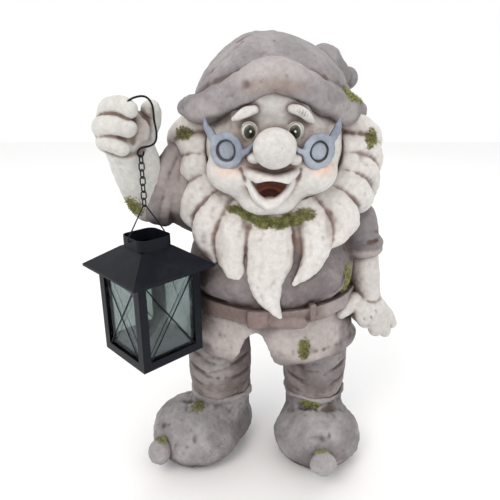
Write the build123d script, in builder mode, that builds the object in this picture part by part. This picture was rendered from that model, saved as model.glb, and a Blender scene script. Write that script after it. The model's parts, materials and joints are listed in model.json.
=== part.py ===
from build123d import *
import math
import os

# Garden gnome with a hanging tealight lantern.  Millimetres, +Z up, the gnome faces -Y.
# Everything is laid out from the gnome's own axis, then moved as one so that the origin is
# the bottom centre of the whole object.
CENTRE_SHIFT = (22.29, 28.39, 0.0)

# ---- figure ------------------------------------------------------------------------------
CAST_WALL = 7.0
NECK_Z = 322.0
HEM_Z = 150.0
SEAT_Z = 165.0
# height, half width, half depth and forward shift of the coat
COAT_RINGS = [
    (HEM_Z, 104, 76, 0),
    (190, 99, 76, -2),
    (230, 93, 76, -4),
    (273, 86, 70, -4),
    (305, 78, 60, -2),
    (NECK_Z, 66, 50, 0),
]
HEAD_CENTRE = (0, -14, 386)
HEAD_RADII = (74, 69, 68)
NOSE_CENTRE = (-3, -88, 394)
NOSE_RADII = (20, 18, 18)
MOUTH_CENTRE = (-9, -84, 354)
MOUTH_RADII = (20, 14, 12)
EYE_RADIUS = 11.0
EYE_CENTRES = [(-25, -72, 406), (16, -73, 404)]
LENS_SPOTS = [(-47, 391), (40, 390)]
LENS_RADIUS = 17.5
LENS_THICK = 7.0
LENS_RIM = 5.5
LENS_GAP = 0.2
TEMPLE_RADIUS = 3.4
TEMPLE_REACH = (22, -4, 21)
BRIDGE_ENDS = [(-25.6, -84, 398), (19.6, -85, 396)]
CROWN_RINGS = [
    (436, 84, 70, 8),
    (455, 84, 70, 9),
    (475, 74, 62, 10),
    (490, 52, 46, 11),
    (500, 24, 22, 12),
]
CROWN_SHIFT = -4.0
HAT_WALL = 9.0
CROWN_HOLLOW_TOP = 484.0
BRIM_RADIUS = 13.0
# centre line of the rolled brim, all round from the right temple by way of the brow
BRIM = [
    (-92, 10, 424),
    (-86, -26, 427),
    (-56, -52, 443),
    (-4, -68, 460),
    (52, -54, 443),
    (84, -26, 426),
    (90, 10, 420),
    (74, 50, 420),
    (0, 74, 424),
    (-76, 48, 424),
]
BRIM_TAPER = 0.01
BOBBLE_CENTRE = (88, 58, 453)
BOBBLE_RADIUS = 13.0
HAIR_TOP_Z = 406.0
# height, half width, half depth and forward shift of the mass of beard and hair
HAIR_RINGS = [
    (205, 96, 84, -6),
    (260, 100, 87, -6),
    (310, 110, 86, -4),
    (350, 116, 82, 0),
    (385, 116, 82, 2),
    (HAIR_TOP_Z, 110, 82, 4),
]
HAIR_BACK_Z = 332.0
# the beard's lobed lower edge, from the figure's right ear to the left ear
BEARD_EDGE = [
    (-118, 345),
    (-100, 331),
    (-92, 308),
    (-80, 318),
    (-68, 276),
    (-52, 290),
    (-34, 250),
    (-18, 262),
    (-10, 232),
    (9, 211),
    (20, 246),
    (36, 268),
    (50, 284),
    (68, 296),
    (84, 306),
    (98, 300),
    (116, 316),
    (118, 345),
]
FACE_CENTRE = (1, 388)
FACE_RADII = (68, 62)
BELT_Z = 213.0
BELT_HEIGHT = 19.0
BELT_THICK = 5.0
BUCKLE_CENTRE = (-8, -82, 220)
BUCKLE_SIZE = (30, 16, 26)
TAIL_LENGTH = 46.0
TAIL_HEIGHT = 17.0
FLAP_GAP = 9.0

# raised arm, on the figure's right
RAISED_SHOULDER = (-70, 6, 298)
RAISED_CUFF = (-112, -22, 344)
RAISED_FOREARM = [((-143, -32, 333), (-145, -46, 384), 29, 25)]
FIST_CENTRE = (-155, -62, 410)
FIST_RADIUS = 26.0
FINGER_KNUCKLE = (-152, -54, 428)
FINGER_TIP = (-124, -83, 430)
FINGER_RADIUS = 9.5
THUMB = ((-128, -44, 402), (-126, -54, 426), 12, 9.5)
CUFF_RADIUS = 41.0
CUFF_ROLL = 16.0

# lowered arm, on the figure's left
LOW_SHOULDER = (82, 4, 300)
LOW_CUFF = (108, -6, 266)
LOW_CUFF_RADIUS = 28.0
LOW_LIMBS = [
    ((110, -7, 252), (113, -14, 204), 22, 17),
    ((115, -18, 196), (120, -22, 178), 20, 16),
    ((128, -24, 180), (137, -28, 164), 9, 7.5),
    ((130, -17, 180), (142, -19, 166), 9, 7.5),
    ((130, -10, 184), (147, -9, 171), 9, 7.5),
    ((104, -30, 206), (92, -38, 196), 9, 8),
]

# legs and boots
# height and radius of each leg ring, how far out from the axis it is and its Y
LEG_RINGS = [(80, 37, 61, -4), (120, 38, 62, -2), (150, 35, 58, 0), (SEAT_Z, 33, 56, 0)]
BOOT_TOP_Z = 80.0
BOOT_SHAFT_RADIUS = 42.0
BOOT_CENTRE_Z = 30.0
BOOT_HALF_HEIGHT = 40.0
TOE_BALL_RADIUS = 13.0
TOE_BALL_Z = 27.0
# ankle, toe direction outward from the front in degrees, how far the toe's middle is ahead of
# the ankle, its half length and half width, and how far ahead the toe ball is
BOOTS = {
    "right": ((-62, -4), -51, 38, 56, 57, 92),
    "left": ((58, -4), 3, 34, 50, 54, 82),
}

# ---- lantern -----------------------------------------------------------------------------
LANTERN_AT = (-130.0, -76.5)
LANTERN_YAW = 44.2
LANTERN_BOTTOM = 174.0
BODY = 75.0
BODY_HEIGHT = 98.8
SHEET = 0.8
RAIL = 9.0
POST_FLANGE = 9.0
EAVE = 97.7
EAVE_LIP = 2.5
ROOF_RISE = 20.0
COLLAR = 39.0
COLLAR_HEIGHT = 12.0
COLLAR_CORNER = 9.0
GLASS = 2.0
GLASS_WIDTH = 66.0
GLASS_INSET = 2.3
CROSS_WIRE = 1.3
CUP_RADIUS = 22.0
CUP_HEIGHT = 6.0
PANE_TAB = (8.0, 0.6, 6.0)
DOOR_WIDTH = 62.0
DOOR_HEIGHT = 85.0
DOOR_BORDER = 6.0
DOOR_GLASS = (54.0, 76.0)
DOOR_CLEAR = 0.3
HINGE_PIN = 1.2
KNUCKLE_RADIUS = 1.5
KNUCKLE_LENGTH = 7.0
HINGE_FIT = 0.06
HINGE_LEVELS = (24.0, 74.0)
LATCH_LEVEL = 49.0
LATCH_LENGTH = 15.0
LATCH_WIDTH = 5.0
RIVET_RADIUS = 1.2
RIVET_HEAD = 2.4
BAIL_WIRE = 1.4
BAIL_HALF = 23.5
BAIL_RISE = 34.0
BAIL_BEND = 2.2
BAIL_FOOT_DROP = 3.5
BAIL_REACH = 17.0
LINK_WIRE = 1.3
LINK_LENGTH = 10.0
LINK_WIDTH = 6.9
LINK_COUNT = 7
RUN_GAP = 0.3
HOOK_WIRE = 2.0
PEG_RADIUS = 4.0
PEG_Z = 433.0
SLOT_HALF = 2.6
CROOK_RADIUS = 3.4

EAVE_Z = LANTERN_BOTTOM + BODY_HEIGHT
ROOF_TOP_Z = EAVE_Z + ROOF_RISE
COLLAR_TOP_Z = ROOF_TOP_Z + COLLAR_HEIGHT
BAIL_PIVOT_Z = COLLAR_TOP_Z - BAIL_FOOT_DROP
BAIL_APEX_Z = BAIL_PIVOT_Z + BAIL_RISE
YAW = math.radians(LANTERN_YAW)
EX = Vector(math.cos(YAW), math.sin(YAW), 0)
EY = Vector(-math.sin(YAW), math.cos(YAW), 0)
UP = Vector(0, 0, 1)
LANTERN = Plane(origin=(*LANTERN_AT, 0), x_dir=EX, z_dir=UP)
SWING = Plane(origin=(*LANTERN_AT, 0), x_dir=EX, z_dir=EX.cross(UP))
ACROSS = Plane(origin=(*LANTERN_AT, 0), x_dir=EY, z_dir=EY.cross(UP))


def blob(centre, radii, turn=0.0, mode=Mode.ADD):
    """An ellipsoid, turned about its upright axis."""
    unit = scale(Sphere(1, mode=Mode.PRIVATE), by=radii, mode=Mode.PRIVATE)
    add(unit.moved(Location(centre, (0, 0, turn))), mode=mode)


def limb(start, end, r0, r1, mode=Mode.ADD):
    """Two balls joined by their common cone."""
    a = Vector(*start)
    run = (Vector(*end) - a).length
    axis = (Vector(*end) - a).normalized()
    out = axis.cross(Vector(0.31, 0.47, 0.83)).normalized()
    lean = (r0 - r1) / run
    rim = math.sqrt(1 - lean * lean)
    tilt = math.asin(lean)
    low_turn = (tilt - math.pi / 2) / 2
    high_turn = (tilt + math.pi / 2) / 2
    with BuildSketch(Plane(origin=a, x_dir=out, z_dir=out.cross(axis)), mode=Mode.PRIVATE) as profile:
        with BuildLine():
            low = ThreePointArc(
                (0, -r0),
                (r0 * math.cos(low_turn), r0 * math.sin(low_turn)),
                (r0 * rim, r0 * lean),
            )
            flank = Line(low @ 1, (r1 * rim, run + r1 * lean))
            high = ThreePointArc(
                flank @ 1,
                (r1 * math.cos(high_turn), run + r1 * math.sin(high_turn)),
                (0, run + r1),
            )
            Line(high @ 1, low @ 0)
        make_face()
    revolve(profile.sketch, axis=Axis(a, axis), mode=mode)


def slab_below(level, mode=Mode.SUBTRACT):
    """Everything under a level."""
    with Locations((0, 0, level)):
        Box(600, 600, 300, align=(Align.CENTER, Align.CENTER, Align.MAX), mode=mode)


def wire(path, radius, mode=Mode.ADD):
    """A round wire along a line."""
    with BuildSketch(Plane(origin=path @ 0, z_dir=path % 0), mode=Mode.PRIVATE) as section:
        Circle(radius)
    sweep(section.sketch, path=path, mode=mode)


def at_lantern(x, y, z):
    """A point given in the lantern's own directions."""
    return Vector(*LANTERN_AT, 0) + EX * x + EY * y + UP * z


def on_face(x, z):
    """The point of the face at a given X and Z, with its outward normal."""
    dx, dz = x - HEAD_CENTRE[0], z - HEAD_CENTRE[2]
    rx, ry, rz = HEAD_RADII
    dy = -ry * math.sqrt(1 - (dx / rx) ** 2 - (dz / rz) ** 2)
    normal = Vector(dx / rx**2, dy / ry**2, dz / rz**2).normalized()
    return Vector(x, HEAD_CENTRE[1] + dy, z), normal


# ---- castings of the figure --------------------------------------------------------------

with BuildPart() as head_mass:
    blob(HEAD_CENTRE, HEAD_RADII)
    blob(NOSE_CENTRE, NOSE_RADII)
    slab_below(NECK_Z)

with BuildPart() as coat_mass:
    for ring_z, ring_x, ring_y, ring_shift in COAT_RINGS:
        with BuildSketch(Plane.XY.offset(ring_z)):
            with Locations((0, ring_shift)):
                Ellipse(ring_x, ring_y)
    loft()

with BuildPart() as coat_hollow:
    for ring_z, ring_x, ring_y, ring_shift in COAT_RINGS:
        with BuildSketch(Plane.XY.offset(ring_z)):
            with Locations((0, ring_shift)):
                Ellipse(ring_x - CAST_WALL, ring_y - CAST_WALL)
    loft()
    with BuildSketch(Plane.XY.offset(SEAT_Z)):
        Rectangle(300, 300)
    extrude(amount=CAST_WALL, mode=Mode.SUBTRACT)
    with BuildSketch(Plane.XY.offset(NECK_Z - CAST_WALL)):
        Rectangle(300, 300)
    extrude(amount=2 * CAST_WALL, mode=Mode.SUBTRACT)

with BuildPart() as eyes:
    for eye_centre in EYE_CENTRES:
        with Locations(eye_centre):
            Sphere(EYE_RADIUS)

with BuildPart() as head:
    add(head_mass.part)
    blob(HEAD_CENTRE, tuple(r - CAST_WALL * 1.6 for r in HEAD_RADII), mode=Mode.SUBTRACT)
    blob(MOUTH_CENTRE, MOUTH_RADII, mode=Mode.SUBTRACT)
    add(eyes.part, mode=Mode.SUBTRACT)
    with BuildSketch(Plane.XY.offset(CROWN_RINGS[0][0] - 1)):
        Rectangle(300, 300)
    extrude(amount=CAST_WALL * 4, mode=Mode.SUBTRACT)

with BuildPart() as hat:
    for ring_z, ring_x, ring_y, ring_shift in CROWN_RINGS:
        with BuildSketch(Plane.XY.offset(ring_z)):
            with Locations((CROWN_SHIFT, ring_shift)):
                Ellipse(ring_x, ring_y)
    loft()
    for brim_start, brim_end in zip(BRIM, BRIM[1:] + BRIM[:1]):
        limb(brim_start, brim_end, BRIM_RADIUS, BRIM_RADIUS - BRIM_TAPER)
    with BuildSketch(Plane.XY.offset(CROWN_RINGS[0][0] - 1)):
        with Locations((CROWN_SHIFT, CROWN_RINGS[0][3])):
            Ellipse(CROWN_RINGS[0][1] - HAT_WALL, CROWN_RINGS[0][2] - HAT_WALL)
    with BuildSketch(Plane.XY.offset(CROWN_HOLLOW_TOP)):
        with Locations((CROWN_SHIFT, CROWN_RINGS[3][3])):
            Ellipse(CROWN_RINGS[3][1] - HAT_WALL, CROWN_RINGS[3][2] - HAT_WALL)
    loft(mode=Mode.SUBTRACT)

with BuildPart() as hat_bobble:
    with Locations(BOBBLE_CENTRE):
        Sphere(BOBBLE_RADIUS)
    add(hat.part, mode=Mode.SUBTRACT)

with BuildPart() as beard_and_hair:
    for ring_z, ring_x, ring_y, ring_shift in HAIR_RINGS:
        with BuildSketch(Plane.XY.offset(ring_z)):
            with Locations((0, ring_shift)):
                Ellipse(ring_x, ring_y)
    loft()
    with BuildSketch(Plane.XZ.offset(-120)):
        with BuildLine():
            edge = Polyline(*BEARD_EDGE)
            Polyline(edge @ 1, (118, 430), (-118, 430), edge @ 0)
        make_face()
    extrude(amount=240, mode=Mode.INTERSECT)
    with BuildSketch(Plane.XZ):
        with Locations(FACE_CENTRE):
            Ellipse(*FACE_RADII)
    extrude(amount=120, mode=Mode.SUBTRACT)
    with BuildSketch(Plane.XZ.offset(-120)):
        with Locations((0, HAIR_BACK_Z)):
            Rectangle(300, 200, align=(Align.CENTER, Align.MAX))
    extrude(amount=115, mode=Mode.SUBTRACT)
    add(head_mass.part, mode=Mode.SUBTRACT)
    add(coat_mass.part, mode=Mode.SUBTRACT)

with BuildPart() as spectacles:
    for (lens_x, lens_z), bridge_end in zip(LENS_SPOTS, BRIDGE_ENDS):
        lens_at, lens_normal = on_face(lens_x, lens_z)
        lens_plane = Plane(origin=lens_at + lens_normal * LENS_GAP, x_dir=(1, 0, 0), z_dir=lens_normal)
        with BuildSketch(lens_plane):
            Circle(LENS_RADIUS)
        extrude(amount=LENS_THICK)
        with BuildSketch(lens_plane.offset(LENS_THICK)):
            Circle(LENS_RADIUS)
            Circle(LENS_RADIUS - LENS_RIM, mode=Mode.SUBTRACT)
        extrude(amount=LENS_RIM / 3)
        side = math.copysign(1, lens_x)
        middle = lens_at + lens_normal * LENS_THICK / 2
        rim_out = lens_plane.from_local_coords(
            (side * LENS_RADIUS * 0.7, LENS_RADIUS * 0.4, LENS_THICK * 0.6)
        )
        rim_in = lens_plane.from_local_coords((-side * LENS_RADIUS * 0.8, 0, LENS_THICK * 0.6))
        reach = Vector(side * TEMPLE_REACH[0], TEMPLE_REACH[1], TEMPLE_REACH[2])
        limb(tuple(rim_out), tuple(middle + reach), TEMPLE_RADIUS, TEMPLE_RADIUS - 0.2)
        limb(tuple(rim_in), bridge_end, TEMPLE_RADIUS, TEMPLE_RADIUS - 0.4)

with BuildPart() as right_arm_mass:
    for limb_start, limb_end, start_radius, end_radius in RAISED_FOREARM:
        limb(limb_start, limb_end, start_radius, end_radius)
    with Locations(FIST_CENTRE):
        Sphere(FIST_RADIUS)
    limb(*THUMB)
    limb(FINGER_KNUCKLE, FINGER_TIP, FINGER_RADIUS + 1, FINGER_RADIUS)

with BuildPart() as right_arm:
    add(right_arm_mass.part)
    with BuildSketch(SWING.offset(-SLOT_HALF)):
        with Locations((2, PEG_Z - 2)):
            Rectangle(44, 30)
    extrude(amount=2 * SLOT_HALF, mode=Mode.SUBTRACT)
    with BuildSketch(SWING.offset(-SLOT_HALF - 2)):
        with Locations((0, PEG_Z)):
            Circle(PEG_RADIUS)
    extrude(amount=2 * SLOT_HALF + 4)

with BuildPart() as left_arm:
    for limb_start, limb_end, start_radius, end_radius in LOW_LIMBS:
        limb(limb_start, limb_end, start_radius, end_radius)
    add(coat_mass.part, mode=Mode.SUBTRACT)

with BuildPart() as coat:
    add(coat_mass.part)
    limb(RAISED_SHOULDER, RAISED_CUFF, 36, 34)
    limb(LOW_SHOULDER, LOW_CUFF, 34, 26)
    cuff_axis = Vector(*RAISED_CUFF) - Vector(*RAISED_SHOULDER)
    with BuildSketch(Plane(origin=RAISED_CUFF, z_dir=cuff_axis).offset(-CUFF_ROLL)):
        Circle(CUFF_RADIUS - 3)
    extrude(amount=CUFF_ROLL * 1.4, taper=-8)
    low_axis = Vector(*LOW_CUFF) - Vector(*LOW_SHOULDER)
    with BuildSketch(Plane(origin=LOW_CUFF, z_dir=low_axis).offset(-CUFF_ROLL / 2)):
        Circle(LOW_CUFF_RADIUS)
    extrude(amount=CUFF_ROLL * 1.3)
    add(coat_hollow.part, mode=Mode.SUBTRACT)
    add(right_arm_mass.part, mode=Mode.SUBTRACT)
    add(left_arm.part, mode=Mode.SUBTRACT)
    add(head_mass.part, mode=Mode.SUBTRACT)
    add(beard_and_hair.part, mode=Mode.SUBTRACT)
    with BuildSketch(Plane.XZ.offset(40)):
        with BuildLine():
            Polyline((-8, 206), (-8 - FLAP_GAP, HEM_Z - 1), (-8 + FLAP_GAP, HEM_Z - 1), close=True)
        make_face()
    extrude(amount=60, mode=Mode.SUBTRACT)

with BuildPart() as belt:
    with BuildSketch(Plane.XY.offset(BELT_Z)):
        Ellipse(94 + BELT_THICK, 81 + BELT_THICK)
    extrude(amount=BELT_HEIGHT)
    with Locations(BUCKLE_CENTRE):
        Box(*BUCKLE_SIZE)
    with BuildSketch(Plane.XZ.offset(80)):
        with Locations((BUCKLE_CENTRE[0] + TAIL_LENGTH / 2, BELT_Z + 2)):
            SlotOverall(TAIL_LENGTH + TAIL_HEIGHT, TAIL_HEIGHT)
    extrude(amount=8)
    add(coat_mass.part, mode=Mode.SUBTRACT)
    add(beard_and_hair.part, mode=Mode.SUBTRACT)
    add(left_arm.part, mode=Mode.SUBTRACT)

trouser_legs = {}
boots = {}
toe_balls = {}
for side_name, (ankle, turn, ahead, half_length, half_width, ball_ahead) in BOOTS.items():
    heading = Vector(math.sin(math.radians(turn)), -math.cos(math.radians(turn)), 0)
    ankle_at = Vector(*ankle, 0)
    toe_at = ankle_at + heading * ahead + UP * BOOT_CENTRE_Z
    with BuildPart() as leg:
        for ring_z, ring_radius, ring_out, ring_y in LEG_RINGS:
            with BuildSketch(Plane.XY.offset(ring_z)):
                with Locations((math.copysign(ring_out, ankle[0]), ring_y)):
                    Circle(ring_radius)
        loft()
        for ring_z, ring_radius, ring_out, ring_y in LEG_RINGS:
            with BuildSketch(Plane.XY.offset(ring_z)):
                with Locations((math.copysign(ring_out, ankle[0]), ring_y)):
                    Circle(ring_radius - CAST_WALL)
        loft(mode=Mode.SUBTRACT)
    trouser_legs[side_name] = leg
    with BuildPart() as boot:
        blob(tuple(toe_at), (half_width, half_length, BOOT_HALF_HEIGHT), turn=turn)
        with BuildSketch(Plane.XY):
            with Locations(ankle):
                Circle(BOOT_SHAFT_RADIUS - 4)
        with BuildSketch(Plane.XY.offset(BOOT_TOP_Z)):
            with Locations(ankle):
                Circle(BOOT_SHAFT_RADIUS)
        loft()
        slab_below(0)
        limb(
            tuple(ankle_at + UP * (BOOT_SHAFT_RADIUS - CAST_WALL)),
            tuple(toe_at),
            BOOT_SHAFT_RADIUS - 3 * CAST_WALL,
            BOOT_HALF_HEIGHT - 2.2 * CAST_WALL,
            mode=Mode.SUBTRACT,
        )
    boots[side_name] = boot
    with BuildPart() as toe_ball:
        with Locations(ankle_at + heading * ball_ahead + UP * TOE_BALL_Z):
            Sphere(TOE_BALL_RADIUS)
        add(boot.part, mode=Mode.SUBTRACT)
    toe_balls[side_name] = toe_ball

# ---- lantern -----------------------------------------------------------------------------

HALF = BODY / 2
RAIL_LOW = LANTERN_BOTTOM + RAIL
RAIL_HIGH = EAVE_Z - RAIL
ROOF_SLOPE = ROOF_RISE / ((EAVE - COLLAR) / 2)
SHEET_RUN = SHEET / math.sin(math.atan(ROOF_SLOPE))
FRAME_TOP = EAVE_Z + (EAVE / 2 - SHEET_RUN - HALF) * ROOF_SLOPE - 0.05


def face_plane(turn, out):
    """A vertical plane on one side of the lantern, normal outward, at a distance."""
    normal = EX * math.cos(math.radians(turn)) + EY * math.sin(math.radians(turn))
    return Plane(origin=at_lantern(0, 0, 0) + normal * out, x_dir=UP.cross(normal), z_dir=normal)


def cross(turn, out, half_width, low, high):
    """Two wires from corner to corner of an opening."""
    plane = face_plane(turn, out)
    for way in (-1, 1):
        start = plane.from_local_coords((-half_width * way, low, 0))
        end = plane.from_local_coords((half_width * way, high, 0))
        limb(tuple(start), tuple(end), CROSS_WIRE / 2, CROSS_WIRE / 2)


with BuildPart() as lantern_base:
    with BuildSketch(LANTERN.offset(LANTERN_BOTTOM)):
        Rectangle(BODY, BODY)
    extrude(amount=RAIL)
    with BuildSketch(LANTERN.offset(LANTERN_BOTTOM + SHEET)):
        Rectangle(BODY - 2 * SHEET, BODY - 2 * SHEET)
    extrude(amount=RAIL, mode=Mode.SUBTRACT)
    for turn in (0, 180, 270):
        tab_plane = face_plane(turn, HALF - GLASS_INSET - GLASS - PANE_TAB[1])
        for along in (-20, 20):
            with BuildSketch(tab_plane):
                with Locations((along, LANTERN_BOTTOM + SHEET + PANE_TAB[2] / 2)):
                    Rectangle(PANE_TAB[0], PANE_TAB[2])
            extrude(amount=PANE_TAB[1] - 0.05)

with BuildPart() as lantern_posts:
    with BuildSketch(LANTERN.offset(RAIL_LOW)):
        Rectangle(BODY, BODY)
        Rectangle(BODY - 2 * SHEET, BODY - 2 * SHEET, mode=Mode.SUBTRACT)
        Rectangle(BODY - 2 * POST_FLANGE, BODY, mode=Mode.SUBTRACT)
        Rectangle(BODY, BODY - 2 * POST_FLANGE, mode=Mode.SUBTRACT)
    extrude(amount=RAIL_HIGH - RAIL_LOW)

with BuildPart() as lantern_top_frame:
    with BuildSketch(LANTERN.offset(RAIL_HIGH)):
        Rectangle(BODY, BODY)
        Rectangle(BODY - 2 * SHEET, BODY - 2 * SHEET, mode=Mode.SUBTRACT)
    extrude(amount=FRAME_TOP - RAIL_HIGH)

with BuildPart() as lantern_roof:
    with BuildSketch(LANTERN.offset(EAVE_Z)):
        Rectangle(EAVE, EAVE)
    with BuildSketch(LANTERN.offset(ROOF_TOP_Z)):
        Rectangle(COLLAR, COLLAR)
    loft()
    with BuildSketch(LANTERN.offset(EAVE_Z)):
        Rectangle(EAVE, EAVE)
    extrude(amount=-EAVE_LIP)
    with BuildSketch(LANTERN.offset(EAVE_Z)):
        Rectangle(EAVE - 2 * SHEET_RUN, EAVE - 2 * SHEET_RUN)
    with BuildSketch(LANTERN.offset(ROOF_TOP_Z)):
        Rectangle(COLLAR - 2 * SHEET_RUN, COLLAR - 2 * SHEET_RUN)
    loft(mode=Mode.SUBTRACT)
    with BuildSketch(LANTERN.offset(EAVE_Z)):
        Rectangle(EAVE - 2 * SHEET_RUN, EAVE - 2 * SHEET_RUN)
    extrude(amount=-EAVE_LIP, mode=Mode.SUBTRACT)

with BuildPart() as lantern_collar:
    with BuildSketch(LANTERN.offset(ROOF_TOP_Z)):
        RectangleRounded(COLLAR, COLLAR, COLLAR_CORNER)
        RectangleRounded(
            COLLAR - 2 * SHEET, COLLAR - 2 * SHEET, COLLAR_CORNER - SHEET, mode=Mode.SUBTRACT
        )
    extrude(amount=COLLAR_HEIGHT)
    with BuildSketch(face_plane(0, -COLLAR)):
        with Locations((0, BAIL_PIVOT_Z)):
            Circle(BAIL_WIRE / 2 + HINGE_FIT)
    extrude(amount=2 * COLLAR, mode=Mode.SUBTRACT)

with BuildPart() as candle_cup:
    with BuildSketch(LANTERN.offset(LANTERN_BOTTOM + SHEET)):
        Circle(CUP_RADIUS)
    extrude(amount=CUP_HEIGHT)
    with BuildSketch(LANTERN.offset(LANTERN_BOTTOM + 2 * SHEET)):
        Circle(CUP_RADIUS - SHEET)
    extrude(amount=CUP_HEIGHT, mode=Mode.SUBTRACT)

FIXED_SIDES = {"front_left": 180, "front_right": 270, "inner": 0}
panes = {}
crosses = {}
for side_name, turn in FIXED_SIDES.items():
    with BuildPart() as pane:
        with BuildSketch(face_plane(turn, HALF - GLASS_INSET - GLASS)):
            with Locations((0, LANTERN_BOTTOM + SHEET)):
                Rectangle(GLASS_WIDTH, BODY_HEIGHT - 4, align=(Align.CENTER, Align.MIN))
        extrude(amount=GLASS)
    panes[side_name] = pane
    with BuildPart() as wire_cross:
        cross(turn, HALF - SHEET - CROSS_WIRE / 2, 30, LANTERN_BOTTOM + 6, EAVE_Z - 6)
    crosses[side_name] = wire_cross

DOOR_OUT = HALF + DOOR_CLEAR
DOOR_LOW = LANTERN_BOTTOM + (BODY_HEIGHT - DOOR_HEIGHT) / 2
PIN_OUT = HALF + DOOR_CLEAR + KNUCKLE_RADIUS
PIN_SIDE = DOOR_WIDTH / 2 + KNUCKLE_RADIUS + 0.3
DOOR_FACE = face_plane(90, DOOR_OUT)


def hinge_cylinder(level, length, radius, mode=Mode.ADD):
    """A round piece on the door's hinge line, centred at a level above the lantern's foot."""
    with BuildSketch(LANTERN.offset(LANTERN_BOTTOM + level - length / 2), mode=Mode.PRIVATE) as disc:
        with Locations((-PIN_SIDE, PIN_OUT)):
            Circle(radius)
    extrude(disc.sketch, amount=length, mode=mode)


with BuildPart() as door_frame:
    with BuildSketch(DOOR_FACE):
        with Locations((0, DOOR_LOW + DOOR_HEIGHT / 2)):
            Rectangle(DOOR_WIDTH, DOOR_HEIGHT)
            Rectangle(
                DOOR_WIDTH - 2 * DOOR_BORDER, DOOR_HEIGHT - 2 * DOOR_BORDER, mode=Mode.SUBTRACT
            )
    extrude(amount=SHEET)
    for hinge_level in HINGE_LEVELS:
        hinge_cylinder(hinge_level, KNUCKLE_LENGTH, KNUCKLE_RADIUS)
        with BuildSketch(DOOR_FACE):
            with Locations((PIN_SIDE, LANTERN_BOTTOM + hinge_level)):
                Rectangle(5, KNUCKLE_LENGTH, align=(Align.MAX, Align.CENTER))
        extrude(amount=SHEET)
    for hinge_level in HINGE_LEVELS:
        hinge_cylinder(hinge_level, KNUCKLE_LENGTH, HINGE_PIN / 2 + HINGE_FIT, mode=Mode.SUBTRACT)

with BuildPart() as hinge_pins:
    for hinge_level in HINGE_LEVELS:
        hinge_cylinder(hinge_level, KNUCKLE_LENGTH + 4, HINGE_PIN / 2)
        for end in (-1, 1):
            lug_level = hinge_level + end * (KNUCKLE_LENGTH / 2 + 1.3)
            hinge_cylinder(lug_level, 2.0, KNUCKLE_RADIUS)
            with BuildSketch(LANTERN.offset(LANTERN_BOTTOM + lug_level - 1.0)):
                with Locations((-PIN_SIDE, HALF)):
                    Rectangle(
                        2 * KNUCKLE_RADIUS, PIN_OUT - HALF, align=(Align.CENTER, Align.MIN)
                    )
            extrude(amount=2.0)

with BuildPart() as door_glass:
    with BuildSketch(face_plane(90, DOOR_OUT - GLASS)):
        with Locations((0, DOOR_LOW + DOOR_HEIGHT / 2)):
            Rectangle(*DOOR_GLASS)
    extrude(amount=GLASS)

with BuildPart() as door_cross:
    cross(
        90,
        DOOR_OUT + CROSS_WIRE / 2,
        DOOR_WIDTH / 2 - DOOR_BORDER,
        DOOR_LOW + DOOR_BORDER,
        DOOR_LOW + DOOR_HEIGHT - DOOR_BORDER,
    )
    add(door_frame.part, mode=Mode.SUBTRACT)

LATCH_SIDE = DOOR_WIDTH / 2 + LATCH_WIDTH / 2 + 0.7
LATCH_OUT = DOOR_OUT + SHEET + RUN_GAP
LATCH_AT = (-LATCH_SIDE, LANTERN_BOTTOM + LATCH_LEVEL)

with BuildPart() as latch_rivet:
    with BuildSketch(face_plane(90, HALF)):
        with Locations(LATCH_AT):
            Circle(RIVET_RADIUS)
    extrude(amount=LATCH_OUT - HALF + SHEET + 0.1)
    with BuildSketch(face_plane(90, HALF)):
        with Locations(LATCH_AT):
            Circle(RIVET_HEAD)
    extrude(amount=LATCH_OUT - HALF - 0.05)
    with BuildSketch(face_plane(90, LATCH_OUT + SHEET + 0.05)):
        with Locations(LATCH_AT):
            Circle(RIVET_HEAD)
    extrude(amount=SHEET)

with BuildPart() as latch:
    with BuildSketch(face_plane(90, LATCH_OUT)):
        with Locations((LATCH_AT[0], LATCH_AT[1] + (LATCH_LENGTH - LATCH_WIDTH) / 2)):
            SlotOverall(LATCH_LENGTH, LATCH_WIDTH, rotation=90)
        with Locations(LATCH_AT):
            Circle(RIVET_RADIUS + HINGE_FIT, mode=Mode.SUBTRACT)
    extrude(amount=SHEET)

APEX_HALF_ANGLE = math.atan2(BAIL_HALF, BAIL_RISE)
APEX_LOSS = BAIL_BEND / math.sin(APEX_HALF_ANGLE) - BAIL_BEND

with BuildPart() as bail:
    with BuildLine(SWING) as bail_line:
        FilletPolyline(
            (-BAIL_REACH, BAIL_PIVOT_Z),
            (-BAIL_HALF, BAIL_PIVOT_Z),
            (0, BAIL_APEX_Z + APEX_LOSS),
            (BAIL_HALF, BAIL_PIVOT_Z),
            (BAIL_REACH, BAIL_PIVOT_Z),
            radius=BAIL_BEND,
        )
    wire(bail_line.wires()[0], BAIL_WIRE / 2)

LINK_SPAN = LINK_LENGTH - LINK_WIRE
LINK_PITCH = LINK_SPAN - LINK_WIRE - RUN_GAP
LAST_LINK_LOW = BAIL_APEX_Z - BAIL_WIRE / 2 - LINK_WIRE / 2 - RUN_GAP
FIRST_LINK_TOP = LAST_LINK_LOW + LINK_SPAN + (LINK_COUNT - 1) * LINK_PITCH
CROOK_LOW = FIRST_LINK_TOP - LINK_WIRE / 2 - HOOK_WIRE / 2 - RUN_GAP

links = []
for index in range(LINK_COUNT):
    link_plane = ACROSS if index % 2 == 0 else SWING
    middle = FIRST_LINK_TOP - index * LINK_PITCH - LINK_SPAN / 2
    bend = (LINK_WIDTH - LINK_WIRE) / 2
    straight = LINK_SPAN / 2 - bend
    with BuildPart() as link:
        with BuildLine(link_plane) as link_line:
            right_side = Line((bend, middle - straight), (bend, middle + straight))
            over = CenterArc((0, middle + straight), bend, 0, 180)
            left_side = Line((-bend, middle + straight), (-bend, middle - straight))
            under = CenterArc((0, middle - straight), bend, 180, 180)
        wire(link_line.wires()[0], LINK_WIRE / 2)
    links.append(link)

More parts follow.
